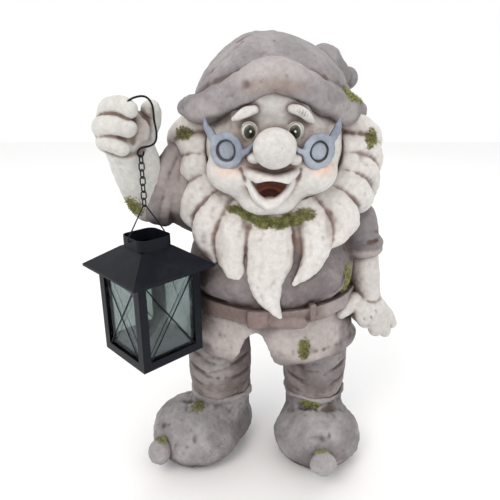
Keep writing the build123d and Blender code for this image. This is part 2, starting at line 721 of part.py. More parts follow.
# the hook's line in the swing plane: its end in the fist, the bend over the finger, the
# shank, the set-back and the crook that carries the chain
HOOK_LINE = [
    (-12.0, PEG_Z - 9),
    (-9.5, PEG_Z + 1.5),
    (0.0, PEG_Z + PEG_RADIUS + HOOK_WIRE / 2 + RUN_GAP),
    (10.5, PEG_Z + 4.6),
    (15.5, PEG_Z - 0.5),
    (17.6, PEG_Z - 16),
    (19.4, PEG_Z - 29),
    (17.2, PEG_Z - 37.5),
    (8.0, PEG_Z - 41),
    (-0.5, CROOK_LOW + 2 * CROOK_RADIUS + 0.9),
    (-CROOK_RADIUS, CROOK_LOW + CROOK_RADIUS + 0.6),
    (0.0, CROOK_LOW),
    (CROOK_RADIUS, CROOK_LOW + CROOK_RADIUS),
    (CROOK_RADIUS, CROOK_LOW + CROOK_RADIUS + 1.6),
]

with BuildPart() as hook:
    with BuildLine(SWING) as hook_line:
        Spline(*HOOK_LINE)
    wire(hook_line.wires()[0], HOOK_WIRE / 2)

# ---- pieces ------------------------------------------------------------------------------

pieces = {
    "coat": coat,
    "belt": belt,
    "head": head,
    "eyes": eyes,
    "spectacles": spectacles,
    "hat": hat,
    "hat_bobble": hat_bobble,
    "beard_and_hair": beard_and_hair,
    "right_arm": right_arm,
    "left_arm": left_arm,
    "lantern_base": lantern_base,
    "lantern_posts": lantern_posts,
    "lantern_top_frame": lantern_top_frame,
    "lantern_roof": lantern_roof,
    "lantern_collar": lantern_collar,
    "candle_cup": candle_cup,
    "door_frame": door_frame,
    "door_glass": door_glass,
    "door_cross": door_cross,
    "door_hinge_pins": hinge_pins,
    "door_latch": latch,
    "latch_rivet": latch_rivet,
    "bail": bail,
    "hook": hook,
}
for side_name in BOOTS:
    pieces[f"{side_name}_trouser_leg"] = trouser_legs[side_name]
    pieces[f"{side_name}_boot"] = boots[side_name]
    pieces[f"{side_name}_toe_ball"] = toe_balls[side_name]
for side_name in FIXED_SIDES:
    pieces[f"glass_{side_name}"] = panes[side_name]
    pieces[f"cross_{side_name}"] = crosses[side_name]
for number, link in enumerate(links, start=1):
    pieces[f"chain_link_{number}"] = link

os.makedirs("parts", exist_ok=True)
for name, piece in pieces.items():
    placed = piece.part.moved(Location(CENTRE_SHIFT))
    placed.label = name
    export_step(placed, f"parts/{name}.step")
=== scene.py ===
import json
import math

import bpy
import numpy as np
import openvdb as vdb
from mathutils import Matrix, Vector

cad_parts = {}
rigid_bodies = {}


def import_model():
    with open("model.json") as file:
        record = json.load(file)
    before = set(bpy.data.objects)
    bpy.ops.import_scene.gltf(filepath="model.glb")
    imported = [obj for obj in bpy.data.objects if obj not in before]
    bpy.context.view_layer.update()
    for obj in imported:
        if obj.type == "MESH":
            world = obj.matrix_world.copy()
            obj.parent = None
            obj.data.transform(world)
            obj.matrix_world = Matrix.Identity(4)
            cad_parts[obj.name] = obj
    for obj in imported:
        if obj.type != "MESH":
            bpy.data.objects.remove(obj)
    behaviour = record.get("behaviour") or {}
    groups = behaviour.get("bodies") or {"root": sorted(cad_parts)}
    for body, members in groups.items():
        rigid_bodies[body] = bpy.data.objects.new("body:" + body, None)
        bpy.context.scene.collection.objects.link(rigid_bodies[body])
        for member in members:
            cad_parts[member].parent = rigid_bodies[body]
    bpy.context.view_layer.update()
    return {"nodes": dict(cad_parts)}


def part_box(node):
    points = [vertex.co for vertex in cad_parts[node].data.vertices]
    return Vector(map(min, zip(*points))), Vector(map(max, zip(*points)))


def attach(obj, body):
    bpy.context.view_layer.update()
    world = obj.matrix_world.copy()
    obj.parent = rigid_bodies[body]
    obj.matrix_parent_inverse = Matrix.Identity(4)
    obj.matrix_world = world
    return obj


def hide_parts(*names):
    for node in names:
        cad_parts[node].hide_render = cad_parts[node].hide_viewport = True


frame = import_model()

MM = 0.001
# The figure's own axis, in millimetres of the frame: the lantern hangs at LANTERN_AT from it.
LANTERN_AT = (-130.0, -76.5)
bail_low, bail_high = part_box("bail")
AXIS = np.array([
    (bail_low[0] + bail_high[0]) / 2 / MM - LANTERN_AT[0],
    (bail_low[1] + bail_high[1]) / 2 / MM - LANTERN_AT[1],
    0.0,
])
COARSE = 1.0
FAR = 40.0


# ---- clay: solids added together as distance fields, then skinned -------------------------

def soft_min(a, b, k):
    if k <= 0:
        return np.minimum(a, b)
    h = np.clip(0.5 + 0.5 * (b - a) / k, 0, 1)
    return b + (a - b) * h - k * h * (1 - h)


def turn_matrix(turn):
    x, y, z = (math.radians(v) for v in turn)
    return np.array((Matrix.Rotation(z, 3, "Z") @ Matrix.Rotation(y, 3, "Y") @ Matrix.Rotation(x, 3, "X")))


def egg(centre, radii, turn=(0, 0, 0)):
    """An ellipsoid."""
    c, r = np.array(centre, float), np.array(radii, float)
    m = turn_matrix(turn)
    reach = np.sqrt(((m * r) ** 2).sum(1))

    def field(x, y, z):
        x, y, z = x - c[0], y - c[1], z - c[2]
        u = [m[0, i] * x + m[1, i] * y + m[2, i] * z for i in range(3)]
        k0 = np.sqrt(sum((u[i] / r[i]) ** 2 for i in range(3)))
        k1 = np.sqrt(sum((u[i] / r[i] ** 2) ** 2 for i in range(3))) + 1e-6
        return k0 * (k0 - 1) / k1

    return field, c - reach, c + reach


def smooth_line(points, per=6):
    """A smooth run of points (and anything carried with them) through the given ones."""
    p = np.array(points, float)
    if len(p) < 3:
        return p
    ext = np.vstack([2 * p[0] - p[1], p, 2 * p[-1] - p[-2]])
    out = []
    for i in range(1, len(ext) - 2):
        a, b, c, d = ext[i - 1:i + 3]
        for t in np.arange(per) / per:
            square, cube = 2 * a - 5 * b + 4 * c - d, 3 * b - a - 3 * c + d
            out.append(0.5 * ((2 * b) + (c - a) * t + square * t * t + cube * t ** 3))
    out.append(p[-1])
    return np.array(out)


def roll(points, flat=None, thin=1.0, per=5):
    """A round-sectioned roll through points (x, y, z, radius), thinned along the way `flat`."""
    line = smooth_line(points, per)
    p, r = line[:, :3], np.maximum(line[:, 3], 0.3)
    n = None if flat is None else np.array(flat, float) / np.linalg.norm(flat)

    def field(x, y, z):
        best = None
        for i in range(len(p) - 1):
            a, ab = p[i], p[i + 1] - p[i]
            dx, dy, dz = x - a[0], y - a[1], z - a[2]
            h = np.clip((dx * ab[0] + dy * ab[1] + dz * ab[2]) / max(ab @ ab, 1e-6), 0, 1)
            dx, dy, dz = dx - h * ab[0], dy - h * ab[1], dz - h * ab[2]
            if n is not None:
                s = (1 / thin - 1) * (dx * n[0] + dy * n[1] + dz * n[2])
                dx, dy, dz = dx + s * n[0], dy + s * n[1], dz + s * n[2]
            d = np.sqrt(dx * dx + dy * dy + dz * dz) - (r[i] + (r[i + 1] - r[i]) * h)
            best = d if best is None else np.minimum(best, d)
        return best * (thin if n is not None else 1.0) ** 0.5

    pad = r[:, None]
    return field, (p - pad).min(0), (p + pad).max(0)


def block(centre, half, soft=1.0, turn=(0, 0, 0)):
    """A box with rounded edges."""
    c, b = np.array(centre, float), np.array(half, float) - soft
    m = turn_matrix(turn)
    reach = np.abs(m) @ (b + soft)

    def field(x, y, z):
        x, y, z = x - c[0], y - c[1], z - c[2]
        q = [np.abs(m[0, i] * x + m[1, i] * y + m[2, i] * z) - b[i] for i in range(3)]
        out = np.sqrt(sum(np.maximum(v, 0) ** 2 for v in q))
        return out + np.minimum(np.maximum(np.maximum(q[0], q[1]), q[2]), 0) - soft

    return field, c - reach, c + reach


def stack(rings):
    """An upright body of ellipses: (height, half width, half depth, x shift, y shift)."""
    r = smooth_line(rings, 6)
    z0, z1 = r[0, 0], r[-1, 0]

    def field(x, y, z):
        zz = np.clip(z, z0, z1)
        rx, ry, sx, sy = (np.interp(zz, r[:, 0], r[:, i]) for i in range(1, 5))
        u, v = (x - sx) / rx, (y - sy) / ry
        k0 = np.sqrt(u * u + v * v)
        k1 = np.sqrt((u / rx) ** 2 + (v / ry) ** 2) + 1e-6
        side = k0 * (k0 - 1) / k1
        return np.maximum(side, np.maximum(z0 - z, z - z1))

    low = [(r[:, 3] - r[:, 1]).min(), (r[:, 4] - r[:, 2]).min(), z0]
    high = [(r[:, 3] + r[:, 1]).max(), (r[:, 4] + r[:, 2]).max(), z1]
    return field, np.array(low), np.array(high)


class Clay:
    """A block of modelling clay between two corners, in millimetres from the figure's axis."""

    def __init__(self, low, high, step):
        self.step = step * COARSE
        self.low = np.array(low, float)
        count = np.ceil((np.array(high, float) - self.low) / self.step).astype(int) + 1
        self.axes = [self.low[i] + self.step * np.arange(count[i]) for i in range(3)]
        self.d = np.full(count, FAR, np.float32)

    def window(self, low, high, pad):
        cut = []
        for i in range(3):
            a = max(0, int((low[i] - pad - self.low[i]) / self.step))
            b = min(len(self.axes[i]), int((high[i] + pad - self.low[i]) / self.step) + 2)
            if b <= a:
                return None, None
            cut.append(slice(a, b))
        x, y, z = (axis[span] for axis, span in zip(self.axes, cut))
        return tuple(cut), (x[:, None, None], y[None, :, None], z[None, None, :])

    def put(self, shape, soft=0.0):
        """Adds a shape, blended into what is there over `soft` millimetres."""
        field, low, high = shape
        cut, xyz = self.window(low, high, soft + 3 * self.step + 4)
        if cut:
            self.d[cut] = soft_min(self.d[cut], field(*xyz).astype(np.float32), soft)

    def cut(self, shape, soft=0.0):
        field, low, high = shape
        cut, xyz = self.window(low, high, soft + 3 * self.step + 4)
        if cut:
            self.d[cut] = -soft_min(-self.d[cut], field(*xyz).astype(np.float32), soft)

    def groove(self, points, width, depth):
        """A crease pressed along a line, with soft lips."""
        line = [(*p[:3], width) for p in points]
        field, low, high = roll(line)
        cut, xyz = self.window(low, high, width + 4)
        if cut:
            near = np.clip(1 - (field(*xyz) + width) / width, 0, 1)
            self.d[cut] += (depth * near * near * (3 - 2 * near)).astype(np.float32)

    def ridge(self, points, width, height):
        self.groove(points, width, -height)


def lumps(clay, cell, seed):
    """Smooth random bumps, one every `cell` millimetres, of height about 1."""
    rng = np.random.default_rng(seed)
    ways, counts = [], []
    for axis in clay.axes:
        at = (axis - axis[0]) / cell
        count = int(at[-1]) + 2
        base = at.astype(int)
        part = at - base
        part = part * part * (3 - 2 * part)
        way = np.zeros((len(axis), count), np.float32)
        way[np.arange(len(axis)), base] = 1 - part
        way[np.arange(len(axis)), np.minimum(base + 1, count - 1)] += part
        ways.append(way)
        counts.append(count)
    grid = rng.standard_normal(counts).astype(np.float32)
    for way in ways:
        grid = np.moveaxis(np.tensordot(way, grid, axes=(1, 0)), 0, 2)
    return grid


def blurred(d, reach):
    """The field averaged over a cube of 2 * reach + 1 cells."""
    for axis in range(3):
        total = np.cumsum(np.pad(d, [(reach + 1, reach) if i == axis else (0, 0) for i in range(3)],
                                 "edge"), axis=axis, dtype=np.float64)
        ends = np.take(total, np.arange(2 * reach + 1, total.shape[axis]), axis)
        starts = np.take(total, np.arange(0, total.shape[axis] - 2 * reach - 1), axis)
        d = ((ends - starts) / (2 * reach + 1)).astype(np.float32)
    return d


def sample(clay, values, points):
    """The values of a field at points, read between its cells."""
    at = (points - clay.low) / clay.step
    top = np.array(values.shape) - 2
    base = np.clip(at.astype(int), 0, top)
    f = np.clip(at - base, 0, 1)
    out = 0
    for i in (0, 1):
        for j in (0, 1):
            for k in (0, 1):
                w = ((f[:, 0] if i else 1 - f[:, 0]) * (f[:, 1] if j else 1 - f[:, 1])
                     * (f[:, 2] if k else 1 - f[:, 2]))
                out = out + w * values[base[:, 0] + i, base[:, 1] + j, base[:, 2] + k]
    return out


SKINS = {}


def skin(name, clay, node, material, base, strokes=(), rough=(0.5, 0.2)):
    """Turns clay into one mesh piece that stands for a CAD node.

    A stroke is (colour, centre, radii, strength): firm at its edge, or soft where the strength is below 0.
    """
    seed = sum(ord(c) for c in name)
    clay.d = np.clip(clay.d, -FAR, FAR)
    clay.d += rough[0] * lumps(clay, 13, seed) + rough[1] * lumps(clay, 4.5, seed + 1)
    grid = vdb.FloatGrid(FAR)
    grid.copyFromArray(clay.d)
    points, quads = grid.convertToQuads(0.0)
    points = np.asarray(points, float) * clay.step + clay.low
    quads = np.asarray(quads, np.int64)
    points[:, 2] = np.maximum(points[:, 2], 0.0)
    corner = points[quads]
    volume = (np.cross(corner[:, 0], corner[:, 1]) * corner[:, 2]).sum()
    if volume < 0:
        quads = quads[:, ::-1]
    near = np.clip(clay.d, -8, 8)
    crease = sample(clay, near - blurred(near, max(1, round(2.4 / clay.step))), points)
    broad = sample(clay, near - blurred(near, max(2, round(6.0 / clay.step))), points)
    mesh = bpy.data.meshes.new(name)
    mesh.vertices.add(len(points))
    mesh.vertices.foreach_set("co", ((points + AXIS) * MM).astype(np.float32).ravel())
    mesh.loops.add(quads.size)
    mesh.loops.foreach_set("vertex_index", quads.astype(np.int32).ravel())
    mesh.polygons.add(len(quads))
    mesh.polygons.foreach_set("loop_start", (np.arange(len(quads)) * 4).astype(np.int32))
    mesh.polygons.foreach_set("loop_total", np.full(len(quads), 4, np.int32))
    mesh.polygons.foreach_set("use_smooth", np.ones(len(quads), bool))
    mesh.update(calc_edges=True)
    mesh.validate()
    for key, values in (("crease", crease), ("broad", broad)):
        layer = mesh.attributes.new(key, "FLOAT", "POINT")
        layer.data.foreach_set("value", values.astype(np.float32))
    tint = np.tile(np.array([*base, 1.0], np.float32), (len(points), 1))
    for colour, centre, radii, strength in strokes:
        away = np.sqrt((((points - np.array(centre, float)) / np.array(radii, float)) ** 2).sum(1))
        w = np.clip((1.0 - away) / 0.35 if strength > 0 else 1.4 - away, 0, 1)[:, None]
        w = w * w * (3 - 2 * w) * abs(strength)
        tint[:, :3] = tint[:, :3] * (1 - w) + np.array(colour, np.float32) * w
    layer = mesh.attributes.new("tint", "FLOAT_COLOR", "POINT")
    layer.data.foreach_set("color", tint.ravel())
    obj = bpy.data.objects.new(name, mesh)
    bpy.context.scene.collection.objects.link(obj)
    mesh.materials.append(material)
    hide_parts(node)
    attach(obj, "figure")
    normals = np.zeros(len(mesh.vertices) * 3, np.float32)
    mesh.vertices.foreach_get("normal", normals)
    SKINS[name] = (points, normals.reshape(-1, 3))


# ---- materials ------------------------------------------------------------------------------

def link(tree, a, b):
    tree.links.new(a, b)


def node(tree, kind, **values):
    n = tree.nodes.new(kind)
    for key, value in values.items():
        if key in n.inputs:
            n.inputs[key].default_value = value
        else:
            setattr(n, key, value)
    return n


def new_material(name):
    """A new material, its tree and its Principled shader."""
    material = bpy.data.materials.new(name)
    material.use_nodes = True
    tree = material.node_tree
    return material, tree, tree.nodes["Principled BSDF"]


def noise(tree, place, scale, detail=4.0, rough=0.55, shift=0.0):
    n = node(tree, "ShaderNodeTexNoise", Scale=scale, Detail=detail, Roughness=rough)
    if shift:
        n.noise_dimensions = "4D"
        n.inputs["W"].default_value = shift
    link(tree, place, n.inputs["Vector"])
    return n.outputs["Fac"]


def coordinates(tree):
    return node(tree, "ShaderNodeTexCoord").outputs["Object"]


def attribute(tree, name, output):
    return node(tree, "ShaderNodeAttribute", attribute_name=name).outputs[output]


def ramp(tree, value, low, high):
    """0 below low, 1 above high, smooth between."""
    n = node(tree, "ShaderNodeMapRange")
    n.interpolation_type = "SMOOTHSTEP"
    n.inputs["From Min"].default_value = low
    n.inputs["From Max"].default_value = high
    link(tree, value, n.inputs["Value"])
    return n.outputs["Result"]


def math2(tree, op, a, b):
    n = tree.nodes.new("ShaderNodeMath")
    n.operation = op
    for i, v in enumerate((a, b)):
        if isinstance(v, (int, float)):
            n.inputs[i].default_value = v
        else:
            link(tree, v, n.inputs[i])
    return n.outputs[0]


def times(tree, a, b):
    return math2(tree, "MULTIPLY", a, b)


def less(tree, a, b):
    return math2(tree, "SUBTRACT", a, b)


def plus(tree, a, b):
    return math2(tree, "ADD", a, b)


def mix(tree, factor, a, b, blend="MIX"):
    n = tree.nodes.new("ShaderNodeMix")
    n.data_type = "RGBA"
    n.blend_type = blend
    n.clamp_factor = True
    for socket, v in ((n.inputs["Factor"], factor), (n.inputs["A"], a), (n.inputs["B"], b)):
        if isinstance(v, (int, float)):
            socket.default_value = v
        elif isinstance(v, tuple):
            socket.default_value = (*v, 1.0)
        else:
            link(tree, v, socket)
    return n.outputs["Result"]


def rough_between(tree, shader, value, low, high):
    n = node(tree, "ShaderNodeMapRange")
    link(tree, value, n.inputs["Value"])
    n.inputs["To Min"].default_value = low
    n.inputs["To Max"].default_value = high
    link(tree, n.outputs["Result"], shader.inputs["Roughness"])


def raised(tree, shader, height, strength, distance):
    bump = node(tree, "ShaderNodeBump", Strength=strength, Distance=distance)
    link(tree, height, bump.inputs["Height"])
    link(tree, bump.outputs["Normal"], shader.inputs["Normal"])


def cast_stone(name, grime_and_shade_colour, wash, grime_and_shade_strength=1.0, washed=0.5, speckle=0.5, seed=0.0, roughness=0.82):
    """Weathered cast stone: grime and painted shade in the creases, painted shade where the surface is
    occluded and in broad hollows, limewash on the crowns, specks and air holes.
    """
    material, tree, shader = new_material(name)
    place = coordinates(tree)
    tint = attribute(tree, "tint", "Color")
    crease = attribute(tree, "crease", "Fac")
    broad = attribute(tree, "broad", "Fac")
    blotch = noise(tree, place, 22.0, 5.0, 0.6, 3.1 + seed)
    fine = noise(tree, place, 170.0, 5.0, 0.65, 7.7 + seed)
    grain = noise(tree, place, 700.0, 3.0, 0.6, 1.3 + seed)
    streak = noise(tree, place, 60.0, 4.0, 0.7, 9.9 + seed)

    crown = times(tree, ramp(tree, blotch, 0.40, 0.66), washed)
    colour = mix(tree, crown, tint, wash)
    shade = ramp(tree, fine, 0.25, 0.75)
    colour = mix(tree, times(tree, shade, 0.30), colour, (0.30, 0.27, 0.27), "MULTIPLY")

    # Crease darkening: dark grime and painted shade in the creases, wandered by streaks.
    edge = plus(tree, crease, times(tree, less(tree, streak, 0.5), 0.55))
    crease_shade_and_grime = times(tree, ramp(tree, edge, 0.04, 0.8), 0.92 * grime_and_shade_strength)
    # Painted shade: ambient occlusion darkens nooks and contacts between pieces toward the dark colour.
    hidden = node(tree, "ShaderNodeAmbientOcclusion", Distance=0.03)
    hidden.samples = 8
    wander = times(tree, less(tree, streak, 0.5), 0.3)
    occlusion_shade = ramp(tree, less(tree, plus(tree, 1.0, wander), hidden.outputs["AO"]), 0.12, 0.75)
    colour = mix(tree, times(tree, occlusion_shade, 0.9 * grime_and_shade_strength), colour, tuple(1.3 * v + 0.06 for v in grime_and_shade_colour),
                 "MULTIPLY")
    # Broad hollows painted darker as shade, mixed with random blotchy stains.
    wide = plus(tree, times(tree, broad, 0.9), times(tree, less(tree, blotch, 0.5), 1.5))
    hollow_shade_and_stain = times(tree, ramp(tree, wide, -0.1, 1.1), 0.85 * grime_and_shade_strength)
    colour = mix(tree, hollow_shade_and_stain, colour, tuple(1.1 * v + 0.27 for v in grime_and_shade_colour), "MULTIPLY")
    colour = mix(tree, crease_shade_and_grime, colour, grime_and_shade_colour)

    spots = node(tree, "ShaderNodeTexVoronoi", Scale=420.0)
    link(tree, place, spots.inputs["Vector"])
    where = ramp(tree, noise(tree, place, 45.0, 3.0, 0.6, 5.2 + seed), 0.52, 0.66)
    pale = times(tree, ramp(tree, spots.outputs["Distance"], 0.22, 0.08), where)
    colour = mix(tree, times(tree, pale, speckle), colour, (0.82, 0.81, 0.80))
    holes = node(tree, "ShaderNodeTexVoronoi", Scale=260.0)
    link(tree, place, holes.inputs["Vector"])
    where = ramp(tree, noise(tree, place, 34.0, 2.0, 0.5, 2.4 + seed), 0.60, 0.70)
    hole = times(tree, ramp(tree, holes.outputs["Distance"], 0.17, 0.09), where)
    colour = mix(tree, times(tree, hole, 0.75), colour, (0.10, 0.075, 0.065))
    link(tree, colour, shader.inputs["Base Color"])

    rough_between(tree, shader, fine, roughness - 0.1, roughness + 0.08)
    height = plus(tree, times(tree, fine, 0.6), times(tree, grain, 0.25))
    height = less(tree, height, times(tree, hole, 0.9))
    raised(tree, shader, height, 0.55, 0.0011)
    shader.inputs["Specular IOR Level"].default_value = 0.25
    return material


def glazed(name):
    """Hand-brushed paint for the eyes: the colours are in the piece's own tint."""
    material, tree, shader = new_material(name)
    place = coordinates(tree)
    tint = attribute(tree, "tint", "Color")
    brush = noise(tree, place, 380.0, 3.0, 0.6)
    thick = times(tree, ramp(tree, brush, 0.35, 0.75), 0.25)
    colour = mix(tree, thick, tint, (0.55, 0.52, 0.48), "MULTIPLY")
    link(tree, colour, shader.inputs["Base Color"])
    shader.inputs["Roughness"].default_value = 0.32
    raised(tree, shader, brush, 0.25, 0.0004)
    return material


def powder_coat(name, base=(0.004, 0.0055, 0.010), dust=0.05, bump_size=0.00025):
    """Satin black powder coat: fine orange peel, dust on what faces up."""
    material, tree, shader = new_material(name)
    place = coordinates(tree)
    peel = noise(tree, place, 900.0, 2.0, 0.5, 4.0)
    cloud = noise(tree, place, 38.0, 5.0, 0.65, 6.0)
    up = node(tree, "ShaderNodeSeparateXYZ")
    link(tree, node(tree, "ShaderNodeNewGeometry").outputs["Normal"], up.inputs["Vector"])
    lie = times(tree, ramp(tree, up.outputs["Z"], 0.2, 1.0), ramp(tree, cloud, 0.4, 0.75))
    colour = mix(tree, times(tree, lie, dust), base, (0.22, 0.24, 0.27))
    colour = mix(tree, times(tree, ramp(tree, cloud, 0.3, 0.8), 0.25), colour, (0.010, 0.014, 0.022))
    link(tree, colour, shader.inputs["Base Color"])
    rough_between(tree, shader, cloud, 0.34, 0.5)
    shader.inputs["Specular IOR Level"].default_value = 0.16
    raised(tree, shader, peel, 0.3, bump_size)
    return material


def pane_glass(name):
    """Clear sheet glass, smeared and a little dusty."""
    material, tree, shader = new_material(name)
    place = coordinates(tree)
    smear = noise(tree, place, 55.0, 5.0, 0.7, 2.0)
    dust = node(tree, "ShaderNodeBsdfDiffuse", Color=(0.55, 0.60, 0.64, 1.0), Roughness=1.0)
    clear = node(tree, "ShaderNodeBsdfTransparent", Color=(0.64, 0.68, 0.67, 1.0))
    gloss = node(tree, "ShaderNodeBsdfGlossy", Color=(0.9, 0.94, 0.97, 1.0), Roughness=0.06)
    fresnel = node(tree, "ShaderNodeFresnel", IOR=1.5)
    sheet = tree.nodes.new("ShaderNodeMixShader")
    link(tree, times(tree, fresnel.outputs[0], 0.30), sheet.inputs[0])
    link(tree, clear.outputs[0], sheet.inputs[1])
    link(tree, gloss.outputs[0], sheet.inputs[2])
    dusty = tree.nodes.new("ShaderNodeMixShader")
    link(tree, times(tree, ramp(tree, smear, 0.50, 0.85), 0.07), dusty.inputs[0])
    link(tree, sheet.outputs[0], dusty.inputs[1])
    link(tree, dust.outputs[0], dusty.inputs[2])
    link(tree, dusty.outputs[0], tree.nodes["Material Output"].inputs["Surface"])
    tree.nodes.remove(shader)
    return material


def moss_green(name):
    """Olive leaves with paler tips."""
    material, tree, shader = new_material(name)
    place = coordinates(tree)
    patch = noise(tree, place, 160.0, 4.0, 0.6, 1.0)
    fine = noise(tree, place, 900.0, 2.0, 0.6, 8.0)
    colour = mix(tree, ramp(tree, patch, 0.35, 0.62), (0.150, 0.155, 0.052), (0.36, 0.37, 0.13))
    colour = mix(tree, ramp(tree, fine, 0.55, 0.75), colour, (0.60, 0.60, 0.38))
    link(tree, colour, shader.inputs["Base Color"])
    shader.inputs["Roughness"].default_value = 0.9
    raised(tree, shader, fine, 0.4, 0.0003)
    return material


BROWN = (0.145, 0.092, 0.078)
UMBER = (0.100, 0.066, 0.056)
MAUVE = (0.190, 0.165, 0.168)
UNDERARM_SHADE = (0.150, 0.122, 0.120)
PINKISH = (0.50, 0.45, 0.435)
BLUE_GREY = (0.245, 0.28, 0.345)


# ---- the figure: x to its left, -y to its front, z up, in millimetres from its axis ---------------

def ring(centre, u, v, thick, count=14):
    """Points of a round cord laid on an ellipse with half axes u and v."""
    c, u, v = (np.array(p, float) for p in (centre, u, v))
    return [(*(c + u * math.cos(t) + v * math.sin(t)), thick) for t in np.linspace(0, math.tau, count)]


def hat():
    clay = Clay((-118, -104, 398), (116, 100, 512), 1.15)
    clay.put(stack([(410, 88, 74, 0, 3), (428, 86, 74, 0, 4), (446, 81, 71, 0, 6), (464, 71, 62, -1, 9),
                    (480, 55, 49, -2, 12), (490, 41, 36, -4, 13), (497, 26, 23, -7, 14),
                    (501, 10, 9, -9, 14)]))
    clay.cut(egg((0, -12, 402), (80, 68, 50)), 4)
    rim = [(-92, -4, 425, 7), (-86, -22, 427, 10.5), (-70, -40, 429, 13), (-50, -55, 437, 13.5),
           (-30, -67, 449, 14), (-5, -74, 459, 14.5), (20, -68, 452, 14), (42, -54, 440, 13.5),
           (62, -38, 430, 13), (80, -20, 425, 10.5), (91, -2, 423, 7)]
    clay.put(roll(rim), 7)
    lip = [(-96, -6, 421, 4), (-89, -28, 419, 5.5), (-72, -47, 419, 7), (-50, -63, 427, 7),
           (-29, -75, 438, 7), (-5, -82, 449, 7), (20, -76, 442, 7), (44, -61, 430, 7), (66, -43, 419, 7),
           (84, -25, 417, 5.5), (94, -4, 418, 4)]
    clay.put(roll(lip), 6)
    back = [(91, -2, 421, 9), (92, 24, 421, 10), (78, 52, 424, 11), (46, 72, 427, 12), (0, 80, 428, 12),
            (-46, 72, 427, 12), (-78, 52, 424, 11), (-93, 24, 421, 10), (-92, -4, 423, 9)]
    clay.put(roll(back), 7)
    crest = [(-93, -14, 437), (-66, -30, 447), (-42, -44, 456), (-18, -55, 468), (2, -58, 472),
             (22, -54, 466), (44, -44, 455), (66, -28, 444), (88, -8, 436)]
    clay.groove(crest, 9, 3.2)
    clay.groove([(60, -8, 474), (74, 14, 456), (84, 32, 440)], 8, 2.5)
    clay.groove([(-78, -20, 448), (-58, -24, 472), (-34, -14, 489)], 9, 1.6)
    clay.groove([(-38, -8, 489), (-24, -4, 497), (-8, -2, 500)], 3.4, 3.0)
    clay.put(roll([(58, 34, 470, 20), (72, 48, 458, 17), (84, 56, 454, 10)]), 8)
    light = (0.44, 0.41, 0.405)
    # The dark brown stroke under the brim's front edge is painted shade.
    strokes = [
        (light, (-5, -80, 460), (44, 24, 16), -1.0), (light, (-60, -48, 426), (40, 22, 14), 0.6),
        (light, (62, -44, 424), (40, 24, 14), 0.6),
        ((0.25, 0.18, 0.15), (-5, -88, 447), (34, 14, 9), -0.7),
        ((0.37, 0.35, 0.36), (0, 0, 480), (90, 80, 30), 0.4),
    ]
    stone = cast_stone("hat_stone", BROWN, wash=(0.60, 0.575, 0.57), washed=0.30, speckle=0.45, seed=1.0)
    skin("hat_casting", clay, "hat", stone, (0.265, 0.245, 0.252), strokes, rough=(0.9, 0.3))
    low, high = (np.array(v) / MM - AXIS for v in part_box("hat_bobble"))
    mid = (low + high) / 2
    clay = Clay(low - 8, high + 8, 0.9)
    clay.put(egg(mid, (high - low) / 2))
    for turn in range(5):
        a = math.radians(72 * turn + 20)
        clay.groove([(mid[0] + 13 * math.cos(a), mid[1] + 13 * math.sin(a), mid[2] - 9),
                     (mid[0] + 14 * math.cos(a + 0.3), mid[1] + 14 * math.sin(a + 0.3), mid[2] + 8)], 3.5,
                    1.6)
    skin("hat_bobble_casting", clay, "hat_bobble", stone, (0.28, 0.26, 0.265))


